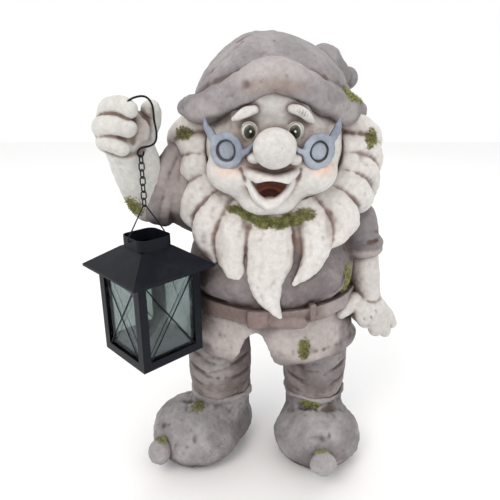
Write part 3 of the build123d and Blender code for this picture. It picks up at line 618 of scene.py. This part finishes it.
def head():
    clay = Clay((-84, -118, 312), (84, 62, 460), 0.85)
    clay.put(egg((0, -14, 386), (74, 68, 68)))
    clay.put(egg((-6, -57, 338), (32, 24, 20)), 14)
    for side, x in ((-1, -42), (1, 36)):
        clay.put(egg((x, -58, 366), (27, 25, 23)), 12)
        clay.cut(egg((x - side * 16, -88, 408), (10, 8, 11)), 9)
    clay.put(egg((-6, -62, 436), (44, 18, 20)), 14)
    clay.put(egg((-2, -90, 393), (20.5, 19, 19.5)), 2.5)
    clay.put(egg((-20, -81, 384), (8.5, 9, 7)), 2.5)
    clay.put(egg((17, -81, 383), (8.5, 9, 7)), 2.5)
    clay.groove([(-25, -89, 378), (-12, -92, 377), (-2, -95, 375), (8, -92, 377), (22, -88, 377)], 3.4, 2.0)
    upper = [(-30, -76, 370, 4), (-20, -84, 366, 6), (-10, -88, 363, 6.5), (0, -89, 362, 6.5),
             (9, -87, 364, 6), (20, -79, 369, 4)]
    clay.put(roll(upper), 2)
    clay.groove([(-9, -97, 370), (-5, -97, 362), (-4, -96, 355)], 4, 0.9)
    clay.cut(egg((-4, -88, 353.5), (18.5, 24, 9.5)), 1.2)
    clay.cut(egg((-5, -84, 344.5), (12.5, 22, 9.5)), 1.5)
    lower = [(-27, -78, 362, 3.5), (-23, -80, 352, 4.2), (-17, -82, 343, 5), (-7, -83, 337, 5.5),
             (4, -82, 342, 5), (12, -81, 351, 4.2), (17, -79, 361, 3.5)]
    clay.put(roll(lower), 2)
    clay.put(egg((-5, -78, 341), (8, 8, 3.5)), 2)
    clay.groove([(-34, -80, 372), (-31, -80, 364), (-27, -83, 356), (-24, -84, 346), (-14, -86, 334)],
                3.5, 1.3)
    clay.groove([(24, -80, 372), (22, -80, 364), (18, -83, 355), (14, -84, 346), (4, -86, 334)], 3.5, 1.3)
    for x, side in ((-26, -1), (18, 1)):
        clay.put(roll(ring((x, -77, 407), (7.6, 0, 0), (0, -1.2, 8.9), 1.1)), 1.5)
    for pts in ([(-40, -76, 418, 2.8), (-35, -78, 421, 4.2), (-28, -81, 425, 4.9), (-21, -82, 427, 4.2)],
                [(14, -82, 428, 4.2), (21, -81, 426, 4.9), (28, -78, 421, 4.4), (33, -75, 416, 3.0)]):
        clay.put(roll(pts), 1.5)
        a, b = np.array(pts[0][:3]), np.array(pts[-1][:3])
        for t in np.linspace(0.12, 0.9, 7):
            p = a + (b - a) * t
            lift = 16 * t * (1 - t)
            foot = (p[0] - 1.8, p[1] - 5.2, p[2] - 6 + lift)
            tip = (p[0] + 1.8, p[1] - 5.2, p[2] + 6 + lift)
            clay.groove([foot, tip], 2.3, 1.8)
    face = (0.705, 0.69, 0.665)
    # The first stroke is painted shade on the forehead under the hat's brim.
    strokes = [
        ((0.56, 0.555, 0.55), (-4, -76, 428), (46, 30, 20), -0.6),
        ((0.57, 0.565, 0.56), (-2, -100, 392), (18, 16, 16), -0.55),
        ((0.80, 0.56, 0.45), (-46, -78, 372), (15, 18, 9), -0.55),
        ((0.80, 0.55, 0.43), (46, -76, 372), (15, 18, 9), -0.6),
        ((0.72, 0.58, 0.47), (-41, -74, 402), (12, 16, 10), -0.4),
        ((0.72, 0.58, 0.47), (38, -74, 404), (12, 16, 10), -0.4),
        ((0.72, 0.71, 0.69), (-30, -84, 424), (14, 10, 8), 0.5),
        ((0.72, 0.71, 0.69), (24, -84, 424), (14, 10, 8), 0.5),
        ((0.66, 0.175, 0.065), (-5, -68, 350), (18.5, 14, 15.5), 1.0),
    ]
    stone = cast_stone("face_stone", (0.20, 0.125, 0.10), wash=(0.76, 0.745, 0.72), grime_and_shade_strength=0.85, washed=0.35,
                       speckle=0.25, seed=2.0, roughness=0.74)
    skin("face_casting", clay, "head", stone, face, strokes, rough=(0.35, 0.12))


def eyes():
    clay = Clay((-44, -92, 392), (38, -66, 422), 0.5)
    strokes = []
    dark = (0.025, 0.022, 0.015)
    iris = (0.045, 0.058, 0.020)
    black = (0.004, 0.004, 0.003)
    painted_highlight = (0.85, 0.85, 0.82)
    for x, gaze in ((-26, 1.0), (18, -1.0)):
        clay.put(egg((x, -75.0, 407), (7.4, 6.6, 8.6)))
        at = (x + gaze, -81.5, 406.5)
        # The last stroke on each eye is a painted highlight, a white spot on the iris.
        strokes += [(dark, at, (7.4, 6, 9.0), 1.0), (iris, at, (6.4, 6, 8.0), 1.0),
                    (black, at, (4.2, 6, 5.2), 1.0),
                    (painted_highlight, (x + gaze + 0.6, -82.5, 407.4), (1.15, 6, 1.3), 1.0)]
    skin("eye_castings", clay, "eyes", glazed("eye_paint_coat"), (0.72, 0.71, 0.67), strokes,
         rough=(0.05, 0.03))


def spectacles():
    clay = Clay((-82, -106, 360), (80, -46, 426), 0.75)
    for side, x, y, z in ((-1, -47, -81, 390), (1, 40, -80, 389)):
        face = np.array((0.30 * side, -0.93, -0.06))
        face /= np.linalg.norm(face)
        across = np.cross(face, (0, 0, 1.0))
        across /= np.linalg.norm(across)
        up = np.cross(across, face)
        c = np.array((x, y, z), float)
        clay.put(roll(ring(c + face * 1.0, across * 12.8, up * 13.6, 4.0, count=22), flat=face, thin=0.8),
                 1)
        disc = [(*(c - face * 5), 11.5), (*(c - face * 3.0), 11.5)]
        clay.put(roll(disc, flat=face, thin=0.55), 0.5)
        clay.groove([p[:3] for p in ring(c + face * 1.5, across * 9.3, up * 9.9, 1, count=26)], 1.7, 1.8)
        arm = [(*(c + up * rise + np.array((side * out, back, 0))), radius)
               for rise, out, back, radius in ((10, 12, 5, 4.2), (20, 19, 15, 3.6), (27, 21, 21, 1.8))]
        clay.put(roll(arm), 2.5)
    clay.put(roll([(-34, -84, 386, 2.6), (-27, -88, 391, 2.4), (-21, -88, 397, 2.0)]), 2)
    clay.put(roll([(27, -85, 388, 2.8), (20, -88, 391, 2.4), (17, -88, 394, 2.0)]), 2)
    strokes = [((0.26, 0.28, 0.33), middle, (8.6, 12, 9.2), 0.8) for middle in ((-47, -88, 390),
                                                                                (40, -87, 389))]
    stone = cast_stone("spectacle_stone", (0.075, 0.075, 0.085), wash=(0.52, 0.58, 0.65), grime_and_shade_strength=1.0,
                       washed=0.5, speckle=0.5, seed=3.0, roughness=0.66)
    skin("spectacle_castings", clay, "spectacles", stone, BLUE_GREY, strokes,
         rough=(0.3, 0.3))


LOCKS = [
    # beard, centre then outwards: each lock is a run of (x, y, z, radius) from its root to its tip
    [(-4, -52, 328, 18), (-3, -62, 304, 24), (-4, -70, 276, 25), (-9, -77, 252, 19), (-4, -83, 234, 11),
     (6, -87, 217, 3)],
    [(-30, -52, 330, 15), (-42, -58, 304, 19), (-44, -66, 280, 16), (-39, -74, 262, 10), (-32, -79, 246, 3)],
    [(-46, -44, 334, 16), (-62, -48, 314, 20), (-70, -54, 294, 15), (-62, -62, 272, 3.5)],
    [(-58, -36, 350, 16), (-78, -36, 334, 20), (-88, -38, 318, 13), (-84, -44, 304, 4)],
    [(30, -54, 330, 16), (42, -60, 306, 19), (43, -70, 284, 15), (34, -79, 266, 9), (21, -85, 254, 3)],
    [(48, -46, 338, 16), (68, -50, 322, 20), (73, -58, 306, 14), (60, -68, 290, 3.5)],
    [(60, -38, 352, 16), (84, -38, 340, 19), (94, -34, 328, 12), (92, -32, 316, 4)],
    [(14, -48, 328, 15), (24, -54, 304, 17), (26, -62, 282, 12), (24, -70, 266, 4)],
    # hair at the sides, from the temples down, right then left
    [(-76, -24, 410, 12), (-92, -20, 402, 15), (-100, -16, 390, 13), (-94, -20, 378, 4)],
    [(-76, -28, 388, 14), (-92, -22, 384, 17), (-102, -14, 370, 14), (-97, -20, 354, 4)],
    [(-74, -32, 366, 15), (-88, -28, 362, 18), (-98, -22, 348, 13), (-93, -26, 334, 4)],
    [(76, -24, 410, 12), (92, -20, 402, 15), (105, -10, 390, 14), (108, -8, 376, 4)],
    [(76, -28, 388, 14), (94, -22, 384, 17), (107, -12, 368, 14), (110, -6, 350, 4)],
    [(74, -32, 368, 15), (90, -28, 362, 18), (104, -18, 346, 14), (105, -14, 324, 5)],
]


def beard_and_hair():
    clay = Clay((-126, -106, 206), (126, 98, 424), 1.15)
    clay.put(stack([(300, 64, 40, 0, -2), (322, 84, 54, 0, 0), (350, 92, 60, 0, 4), (390, 92, 66, 0, 8),
                    (414, 80, 60, 0, 8)]))
    for turn in range(9):
        a = math.radians(-4 + 188 * turn / 8)
        c, s = math.cos(a), math.sin(a)
        clay.put(roll([(78 * c, 10 + 56 * s, 410, 16), (92 * c, 12 + 62 * s, 384, 19),
                       (92 * c, 12 + 60 * s, 352, 18), (84 * c, 10 + 56 * s, 326, 11),
                       (80 * c, 9 + 54 * s, 310, 4)]), 2.5)
        clay.groove([(98 * c, 12 + 76 * s, 412), (112 * c, 12 + 82 * s, 384), (111 * c, 12 + 79 * s, 352),
                     (95 * c, 10 + 67 * s, 326)], 7, 1.6)
    clay.put(egg((0, -40, 318), (66, 30, 34)), 4)
    for lock in LOCKS:
        clay.put(roll(lock, flat=(0, 1, 0), thin=0.7), 1.2)
    for i, lock in enumerate(LOCKS):
        line = np.array(smooth_line(lock, 3))
        way = np.gradient(line[:, :3], axis=0)
        way /= np.linalg.norm(way, axis=1)[:, None]
        out = np.array((0, -1.0, 0)) if i < 8 else np.array((0.75 * np.sign(lock[1][0]), -0.66, 0))
        across = np.cross(way, out)
        across /= np.linalg.norm(across, axis=1)[:, None] + 1e-6
        outer = np.cross(across, way)
        for share, deep in ((-0.36, 0.8), (0.40, 0.9)):
            r = line[:, 3:4]
            height = 0.72 * math.sqrt(1 - share * share)
            pts = line[:, :3] + across * r * share + outer * r * height
            clay.groove(pts[2:-2], 7.5, deep)
    clay.cut(egg((0, -36, 384), (71, 66, 55)), 2)
    clay.groove([(-66, -56, 352), (-48, -72, 334), (-26, -80, 324), (-6, -84, 318), (14, -80, 322),
                 (36, -72, 334), (60, -54, 352)], 5, 1.5)
    shade = (0.40, 0.33, 0.31)
    # Painted shade: under the moustache and at the temples under the hat (shade), in the gaps between beard
    # locks (the three narrow dark strokes), and on the hair's side at x 96, away from the key light.
    strokes = [(shade, (0, -70, 322), (58, 22, 9), -0.45),
               ((0.30, 0.225, 0.20), (27, -76, 286), (5, 22, 30), -0.7),
               ((0.33, 0.26, 0.24), (-56, -74, 292), (5, 22, 26), -0.5),
               ((0.36, 0.29, 0.27), (56, -66, 312), (5, 22, 22), -0.55),
               (shade, (-80, -30, 404), (18, 20, 12), -0.3), (shade, (84, -28, 404), (18, 20, 12), -0.35),
               ((0.44, 0.37, 0.36), (96, -10, 340), (20, 24, 30), -0.4),
               ((0.46, 0.42, 0.42), (0, 60, 350), (110, 50, 60), 0.35)]
    stone = cast_stone("hair_stone", (0.185, 0.118, 0.098), wash=(0.76, 0.75, 0.735), grime_and_shade_strength=0.95,
                       washed=0.55, speckle=0.4, seed=4.0)
    skin("hair_casting", clay, "beard_and_hair", stone, (0.70, 0.675, 0.65), strokes,
         rough=(0.8, 0.25))


def coat():
    clay = Clay((-162, -100, 142), (148, 92, 392), 1.35)
    clay.put(stack([(154, 103, 78, 0, 0), (172, 101, 78, 0, -1), (190, 98, 77, 0, -2), (210, 91, 76, 0, -3),
                    (222, 90, 76, 0, -4), (240, 96, 78, 0, -5), (262, 95, 76, 0, -5), (290, 84, 66, 0, -3),
                    (312, 72, 56, 0, -1), (340, 56, 46, 0, 0), (366, 40, 38, 0, 0)]))
    clay.put(egg((36, -46, 246), (46, 36, 24)), 8)
    clay.put(egg((-38, -46, 246), (46, 36, 24)), 8)
    clay.groove([(-96, -44, 214), (-60, -74, 210), (-20, -84, 208), (20, -84, 210), (60, -72, 212),
                 (96, -44, 214)], 8, 2.5)
    hem = ring((0, 0, 157), (104, 0, 0), (0, 79, 0), 2.6, count=30)
    clay.put(roll(hem), 7)
    clay.cut(egg((-19, -40, 140), (21, 90, 56)), 2)
    clay.cut(egg((-20, -60, 146), (30, 60, 18)), 5)
    clay.groove([(80, -52, 292), (82, -54, 262), (72, -66, 240), (52, -78, 229), (28, -86, 224)], 7, 3.0)
    for x0, x1, y0, y1 in ((58, 66, -64, -66), (84, 92, -42, -40), (-88, -94, -40, -36)):
        clay.groove([(x0, y0 - 8, 206), ((x0 + x1) / 2, y0 - 9, 186), (x1, y1 - 10, 164)], 9, 1.2)
    # right sleeve, lifted, and its rolled cuff
    clay.put(roll([(-62, 8, 304, 30), (-88, -4, 318, 31), (-110, -18, 340, 30)]), 8)
    cuff = np.array((-116, -22, 346))
    u, v = np.array((-8, -26, -8.0)), np.array((10, -2, 36.0))
    clay.put(roll(ring(cuff, u, v, 8.5, count=20)), 4)
    clay.put(roll(ring(cuff + np.array((9, 6, -5)), u * 1.05, v, 7.0, count=20)), 3)
    for k, (dx, dz) in enumerate(((14, -14), (24, -22), (35, -30))):
        clay.groove([(-118 + dx, -44 + 2 * k, 312 - dz * 0.2), (-104 + dx, -50 + 3 * k, 330 - k),
                     (-100 + dx, -40, 350 - 2 * k), (-104 + dx, -20, 366 - 4 * k)], 5, 2.2)
    # left sleeve, hanging
    clay.put(roll([(74, 2, 312, 30), (92, -2, 296, 30), (102, -8, 276, 23)]), 8)
    clay.put(roll(ring((104, -11, 268), (19, 3, 1), (-3, 19, 1), 5.5, count=20)), 3)
    clay.put(roll(ring((104, -11, 276), (20, 3, 1), (-3, 20, 1), 5.0, count=20)), 3)
    for k in range(3):
        z = 308 - 12 * k
        clay.groove([(72 + 2 * k, -36, z - 10), (90, -40, z - 2), (112, -30, z - 4), (126, -10, z - 8)],
                    4.5, 2.0)
    clay.cut(egg((106, -12, 256), (17, 17, 12)), 1)
    strokes = [(PINKISH, (-58, -70, 184), (52, 34, 32), 0.9),
               (PINKISH, (44, -70, 182), (66, 36, 32), 0.9), (PINKISH, (0, 20, 182), (112, 74, 30), 0.7),
               ((0.41, 0.355, 0.345), (-112, -30, 348), (30, 34, 48), 0.9),
               ((0.27, 0.25, 0.258), (112, -6, 290), (32, 40, 34), 0.8),
               ((0.40, 0.35, 0.335), (98, -30, 232), (25, 46, 34), 0.8),
               ((0.48, 0.43, 0.415), (104, -14, 268), (30, 30, 9), 0.8),
               # Painted shade under the lifted right sleeve.
               (UNDERARM_SHADE, (-84, -14, 300), (46, 60, 26), 0.75),
               ((0.72, 0.71, 0.70), (62, -60, 226), (4, 8, 3.5), 0.9),]
    stone = cast_stone("coat_stone", BROWN, wash=(0.56, 0.53, 0.525), washed=0.35, speckle=0.5, seed=5.0)
    skin("coat_casting", clay, "coat", stone, MAUVE, strokes, rough=(0.6, 0.25))


def belt():
    clay = Clay((-108, -100, 198), (108, 94, 240), 1.0)

    def band(x, y, z):
        line = np.abs(np.sqrt((x / 95.5) ** 2 + ((y + 3) / 81.5) ** 2) - 1) * 86 - 3.6
        return np.maximum(line, np.abs(z - 214 - 5 * np.clip((np.abs(x) - 20) / 80, 0, 1)) - 8.5)

    clay.put((band, np.array((-102, -92, 204)), np.array((102, 86, 232))), 1.5)
    clay.put(block((-17, -87, 214), (11, 4.5, 10), 2.5), 1.5)
    clay.put(block((41, -79, 219), (3.5, 5, 10), 2.0, (0, 0, 18)), 1.5)
    clay.put(roll([(-6, -86, 211, 6), (14, -87, 209, 6.5), (30, -84, 208, 6.5)], flat=(0, 1, 0),
                  thin=0.6), 1.5)
    clay.groove([(-22, -93, 219), (-12, -93, 219)], 2, 1.5)
    strokes = [((0.24, 0.18, 0.165), (-17, -88, 214), (14, 10, 14), 0.7),
               ((0.27, 0.21, 0.20), (18, -88, 209), (24, 8, 9), 0.8),
               ((0.37, 0.32, 0.31), (80, -56, 220), (42, 40, 20), 0.85)]
    stone = cast_stone("belt_stone", UMBER, wash=(0.46, 0.42, 0.41), washed=0.25, speckle=0.35, seed=6.0)
    skin("belt_casting", clay, "belt", stone, (0.185, 0.140, 0.128), strokes,
         rough=(0.35, 0.2))


def right_arm():
    clay = Clay((-192, -106, 296), (-100, 12, 450), 0.9)
    clay.put(roll([(-134, -27, 326, 20), (-138, -34, 345, 25), (-143, -45, 372, 25.5),
                   (-148, -56, 394, 22.5)]))
    clay.put(egg((-133, -26, 326), (22, 21, 20)), 8)
    clay.put(egg((-150, -58, 406), (25, 22, 24)), 7)
    for pts in (
        [(-165, -58, 418, 10), (-158, -68, 427, 10), (-146, -76, 430, 9.5), (-137, -80, 427, 8.5)],
        [(-169, -58, 407, 10), (-164, -72, 411, 10.5), (-151, -81, 413, 10), (-139, -82, 410, 8.5)],
        [(-168, -56, 394, 10), (-163, -69, 397, 10), (-154, -78, 396, 9.5), (-147, -79, 392, 8)],
    ):
        clay.put(roll(pts), 2.2)
    clay.put(roll([(-132, -46, 396, 11), (-125, -48, 412, 10.5), (-122, -50, 421, 9.5),
                   (-122, -54, 426, 9)]), 2.5)
    clay.put(egg((-133, -66, 408), (11, 9, 13)), 4)
    clay.groove([(-136, -78, 402), (-140, -70, 388), (-152, -70, 384)], 5, 1.6)
    clay.groove([(-166, -70, 388), (-150, -76, 384), (-128, -68, 388)], 6, 2.0)
    clay.groove([(-128, -66, 424), (-126, -62, 414), (-126, -62, 404)], 4, 2.2)
    # Painted shade: dark in the hollow of the fist by the thumb, and darker where the forearm goes into the
    # cuff.
    strokes = [((0.36, 0.28, 0.25), (-131, -70, 408), (10, 14, 16), -0.7),
               ((0.56, 0.575, 0.53), (-146, -50, 360), (34, 40, 34), 0.45),
               ((0.35, 0.31, 0.28), (-140, -34, 312), (30, 30, 12), -0.35)]
    stone = cast_stone("hand_stone", (0.20, 0.135, 0.11), wash=(0.74, 0.74, 0.72), washed=0.5,
                       speckle=0.4, seed=7.0)
    skin("right_arm_casting", clay, "right_arm", stone, (0.655, 0.65, 0.625), strokes,
         rough=(0.4, 0.2))


def left_arm():
    clay = Clay((66, -60, 146), (166, 24, 284), 0.9)
    clay.put(roll([(104, -10, 270, 17), (108, -12, 248, 18), (111, -17, 224, 17), (113, -22, 206, 17)]))
    clay.put(egg((114, -29, 197), (22, 17, 19)), 5)
    for pts in (
        [(102, -40, 204, 10), (106, -42, 194, 10), (109, -38, 186, 8.5)],
        [(110, -40, 200, 10), (118, -40, 187, 9.5), (123, -36, 175, 8.5)],
        [(120, -34, 198, 10), (129, -32, 183, 9.5), (136, -28, 169, 8)],
        [(126, -26, 198, 10), (137, -24, 186, 9), (145, -19, 174, 7.5)],
        [(94, -36, 212, 10), (86, -41, 205, 9.5), (79, -44, 201, 9)],
    ):
        clay.put(roll(pts), 3.0)
    for x in (104, 113, 122):
        clay.groove([(x + 8, -50, 178), (x + 2, -52, 192), (x - 3, -46, 204)], 2.8, 1.2)
    clay.groove([(94, -34, 214), (108, -38, 210), (122, -38, 212), (132, -26, 214)], 5, 1.4)
    # Painted shade where the forearm comes out from under the cuff.
    strokes = [((0.46, 0.42, 0.40), (108, -14, 258), (26, 30, 12), -0.4)]
    stone = cast_stone("left_hand_stone", (0.20, 0.135, 0.11), wash=(0.74, 0.73, 0.71), washed=0.5,
                       speckle=0.4, seed=8.0)
    skin("left_arm_casting", clay, "left_arm", stone, (0.62, 0.60, 0.575), strokes,
         rough=(0.4, 0.2))


def trouser_leg(side, x):
    name = side + "_trouser_leg"
    s = -1 if side == "right" else 1
    clay = Clay((x - 50, -54, 70), (x + 50, 48, 180), 1.1)
    clay.put(stack([(78, 36, 35, x, -4), (92, 38, 36.5, x, -4), (112, 39.5, 38, x, -4),
                    (132, 39, 38, x, -4), (150, 37, 36, x, -4), (168, 34, 33, x, -4)]))
    for k, z in enumerate((94, 104, 114, 124, 134, 144)):
        lean = (5, -4, 7, -5, 6, -3)[k] * s
        clay.groove([(x - 36, -22, z - lean), (x - 14, -40, z - 5 - lean * 0.4),
                     (x + 12, -42, z - 2 + lean * 0.5), (x + 36, -20, z + 5 + lean)], 5.0, 1.3)
        clay.ridge([(x - 34, -24, z + 7 - lean), (x - 6, -42, z + 3), (x + 34, -24, z + 10 + lean)], 5, 0.5)
    strokes = [((0.33, 0.31, 0.315), (x + 8 * s, -40, 128), (20, 20, 28), -0.6),
               ((0.150, 0.112, 0.100), (x, -20, 88), (46, 46, 12), -0.6)]
    stone = cast_stone(name + "_stone", UMBER, wash=(0.55, 0.52, 0.51), washed=0.4, speckle=0.45,
                       seed=9.0 + s)
    skin(name + "_casting", clay, name, stone, (0.170, 0.146, 0.140), strokes,
         rough=(0.6, 0.3))


def boot(side, ankle, way, ahead, long_half, wide_half, grow, ball_shift):
    """A boot turned `way` degrees outwards, its toe `ahead` of its ankle, and the ball on the toe."""
    name = side + "_boot"
    s = -1 if side == "right" else 1
    a = np.array(ankle, float)
    d = np.array((math.sin(math.radians(way)), -math.cos(math.radians(way))))
    toe = a + d * ahead
    low = np.minimum(a - 44, toe - 76)
    high = np.maximum(a + 46, toe + 76)
    clay = Clay((low[0], low[1], -3), (high[0], high[1], 92), 1.15)
    toe = toe + d * grow
    clay.put(egg((*toe, 29), (wide_half, long_half + grow / 2, 38), (0, 0, way)))
    clay.put(roll([(*(a + d * 2), 40, 36), (*a, 60, 35.5), (*a, 74, 36)]), 10)
    clay.put(egg((*(a - d * 2), 24), (38, 38, 30)), 8)
    clay.cut(block((*a, 100), (70, 70, 22), 1.0), 1)
    collar = []
    for t in range(0, 361, 20):
        r = math.radians(t)
        wave = 2.0 * math.sin(3 * r + s) + 1.2 * math.sin(5 * r)
        collar.append((a[0] + 36.5 * math.cos(r), a[1] + 35.5 * math.sin(r), 76.5 + wave, 2.6))
    clay.put(roll(collar), 3)
    clay.cut(block((*toe, -30), (200, 200, 30.2), 0.1))
    welt = np.abs(clay.axes[2] - 8.5) - 1.0
    clay.d += (1.3 * np.clip(-welt + 0.8, 0, 1)).astype(np.float32)
    wide = np.array((30, 0))
    clay.groove([(*(a + d * 30 - wide), 70), (*(a + d * 38), 62), (*(a + d * 30 + wide), 70)], 7, 2)
    near, far = toe + d * 28 + np.array((-34, 6)), toe + d * 28 + np.array((34, 6))
    clay.groove([(*near, 40), (*(toe + d * 40), 52), (*far, 40)], 6, 0.8)
    strokes = [((0.36, 0.325, 0.305), (a[0], a[1], 80), (48, 48, 6), 0.8),
               ((0.150, 0.125, 0.122), (toe[0], toe[1], 2), (80, 80, 14), -0.6),
               ((0.36, 0.345, 0.355), (toe[0], toe[1] - 20, 58), (40, 44, 20), -0.6),
               ((0.19, 0.155, 0.15), (*(a - d * 6), 52), (30, 30, 26), -0.5)]
    stone = cast_stone(name + "_stone", UMBER, wash=(0.62, 0.60, 0.60), washed=0.4, speckle=0.9,
                       seed=11.0 + s)
    skin(name + "_casting", clay, name, stone, (0.205, 0.185, 0.192), strokes,
         rough=(0.8, 0.35))
    ball = side + "_toe_ball"
    low, high = (np.array(v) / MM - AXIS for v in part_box(ball))
    mid = (low + high) / 2 + np.array(ball_shift)
    clay = Clay(mid - 20, mid + 20, 0.8)
    clay.put(egg(mid, (high - low) / 2 + 2.6))
    pale = cast_stone(ball + "_stone", (0.21, 0.18, 0.17), wash=(0.66, 0.64, 0.64), washed=0.45,
                      speckle=0.9, seed=13.0 + s)
    skin(ball + "_casting", clay, ball, pale, (0.34, 0.315, 0.32), [],
         rough=(0.5, 0.35))


def moss(name, spots, seed):
    """Cushions of short leaves standing on the castings: (piece, centre, radii, how many)."""
    rng = np.random.default_rng(seed)
    verts, faces = [], []
    for piece, centre, radii, count in spots:
        points, normals = SKINS[piece]
        away = (((points - np.array(centre, float)) / np.array(radii, float)) ** 2).sum(1)
        inside = np.nonzero((away < 1) & (normals[:, 1] < 0.6))[0]
        weight = (1 - away[inside]) ** 1.2 * (0.25 + rng.random(len(inside)) ** 4)
        picks = rng.choice(inside, int(count), p=weight / weight.sum())
        for i in picks:
            n = normals[i] + rng.normal(0, 0.45, 3) + np.array((0, 0, 0.15))
            n /= np.linalg.norm(n)
            side = np.cross(n, rng.normal(0, 1, 3))
            side /= np.linalg.norm(side)
            third = np.cross(n, side)
            p = points[i] + rng.normal(0, 0.5, 3)
            tall, wide = rng.uniform(1.2, 3.4), rng.uniform(0.35, 0.8)
            base = len(verts)
            for t in range(3):
                r = 2.1 * t
                verts.append(p + wide * (side * math.cos(r) + third * math.sin(r)) - n * 0.8)
            verts.append(p + n * tall + side * rng.uniform(-0.6, 0.6))
            faces += [(base, base + 1, base + 3), (base + 1, base + 2, base + 3),
                      (base + 2, base, base + 3)]
    mesh = bpy.data.meshes.new(name)
    mesh.from_pydata([tuple((v + AXIS) * MM) for v in verts], [], faces)
    mesh.update()
    obj = bpy.data.objects.new(name, mesh)
    bpy.context.scene.collection.objects.link(obj)
    mesh.materials.append(bpy.data.materials.get("moss_leaves") or moss_green("moss_leaves"))
    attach(obj, "figure")


hat()
head()
eyes()
spectacles()
beard_and_hair()
coat()
belt()
right_arm()
left_arm()
trouser_leg("right", -63)
trouser_leg("left", 57)
boot("right", (-62, -4), -51, 38, 56, 57, 1, (3, -13, 5))
boot("left", (58, -4), 3, 34, 50, 54, 0, (-3, -9, 8))
moss("moss_on_hat_and_hair", [("hat_casting", (64, -30, 437), (26, 16, 9), 900),
                              ("hat_casting", (84, -14, 432), (12, 14, 8), 300),
                              ("hair_casting", (-93, -24, 400), (11, 20, 8), 450),
                              ("hair_casting", (100, -20, 393), (9, 20, 14), 600),], 3)
moss("moss_under_chin", [
    ("hair_casting", (x, -70, z), (13, 26, tall), count)
    for x, z, tall, count in ((-38, 327, 5, 420), (-25, 322, 6, 700), (-11, 317, 7, 900), (4, 316, 7, 900),
                              (18, 318, 8, 900), (31, 323, 7, 500))
], 4)
moss("moss_on_arms", [
    ("right_arm_casting", (-148, -56, 326), (13, 20, 14), 500),
    ("coat_casting", (82, -50, 240), (7, 16, 28), 600),
], 5)
moss("moss_on_coat_and_boots", [("coat_casting", (36, -80, 172), (10, 12, 15), 600),
                                ("coat_casting", (-72, -62, 212), (7, 12, 9), 160),
                                ("right_boot_casting", (-92, -44, 70), (14, 16, 7), 260),
                                ("left_boot_casting", (44, -46, 72), (22, 14, 6), 420),
                                ("right_toe_ball_casting", (-131, -72, 45), (9, 10, 5), 220),
                                ("left_toe_ball_casting", (58, -92, 47), (10, 10, 5), 260),], 6)


# ---- lantern, hook and chain: the CAD pieces, with their finishes ---------------------------------

sheet_finish = powder_coat("black_powder_coat")
wire_finish = powder_coat("black_wire_coat", base=(0.008, 0.009, 0.012), dust=0.06, bump_size=0.0001)
glass_finish = pane_glass("pane_glass_clear")
WIRES = ("hook", "bail", "chain_link", "door_hinge_pins", "latch_rivet")
for obj in list(bpy.data.objects):
    if obj.type != "MESH" or obj.hide_render or obj.name not in frame["nodes"]:
        continue
    if "glass" in obj.name:
        finish = glass_finish
    elif obj.name.startswith(WIRES):
        finish = wire_finish
    else:
        finish = sheet_finish
    for slot in obj.material_slots:
        slot.material = finish


# ---- floor, light and camera ------------------------------------------------------------------------

FLOOR_HALF = 3.0
corners = [(x * FLOOR_HALF, y * FLOOR_HALF, 0) for x, y in ((-1, -1), (1, -1), (1, 1), (-1, 1))]
floor_mesh = bpy.data.meshes.new("floor")
floor_mesh.from_pydata(corners, [], [(0, 1, 2, 3)])
floor = bpy.data.objects.new("floor", floor_mesh)
bpy.context.scene.collection.objects.link(floor)
floor_material, floor_tree, floor_shader = new_material("pale_floor")
floor_shader.inputs["Base Color"].default_value = (0.93, 0.93, 0.93, 1)
floor_shader.inputs["Roughness"].default_value = 0.9
floor_mesh.materials.append(floor_material)

world = bpy.data.worlds.new("studio")
bpy.context.scene.world = world
world.use_nodes = True
world.node_tree.nodes["Background"].inputs["Color"].default_value = (1.0, 1.0, 1.0, 1)
world.node_tree.nodes["Background"].inputs["Strength"].default_value = 1.0


LIGHT_AIM = (0, 0, 0.25)


def soft_light(name, place, size, power, colour):
    light = bpy.data.lights.new(name, "AREA")
    light.color = colour
    light.shape = "DISK"
    light.size = size
    light.energy = power
    obj = bpy.data.objects.new(name, light)
    obj.location = place
    obj.rotation_euler = (Vector(LIGHT_AIM) - Vector(place)).to_track_quat("-Z", "Y").to_euler()
    bpy.context.scene.collection.objects.link(obj)


soft_light("key", (-0.9, -1.3, 1.9), 1.1, 15, (1.0, 0.91, 0.84))
soft_light("fill", (1.5, -1.2, 1.0), 1.4, 3, (1.0, 0.93, 0.88))
soft_light("rim", (0.4, 1.5, 1.6), 1.2, 5, (1.0, 1.0, 1.0))

SENSOR = 36
CAMERA_PLACE = (-25, -560, 460)
LOOK_DOWN = 19.6
camera_data = bpy.data.cameras.new("photo_view")
camera_data.lens = SENSOR
camera_data.sensor_width = SENSOR
camera = bpy.data.objects.new("photo_view", camera_data)
camera.location = Vector(CAMERA_PLACE) * MM + Vector(AXIS) * MM
camera.rotation_euler = (math.radians(90 - LOOK_DOWN), 0, 0)
bpy.context.scene.collection.objects.link(camera)
bpy.context.scene.camera = camera
bpy.context.scene.view_settings.view_transform = "Standard"
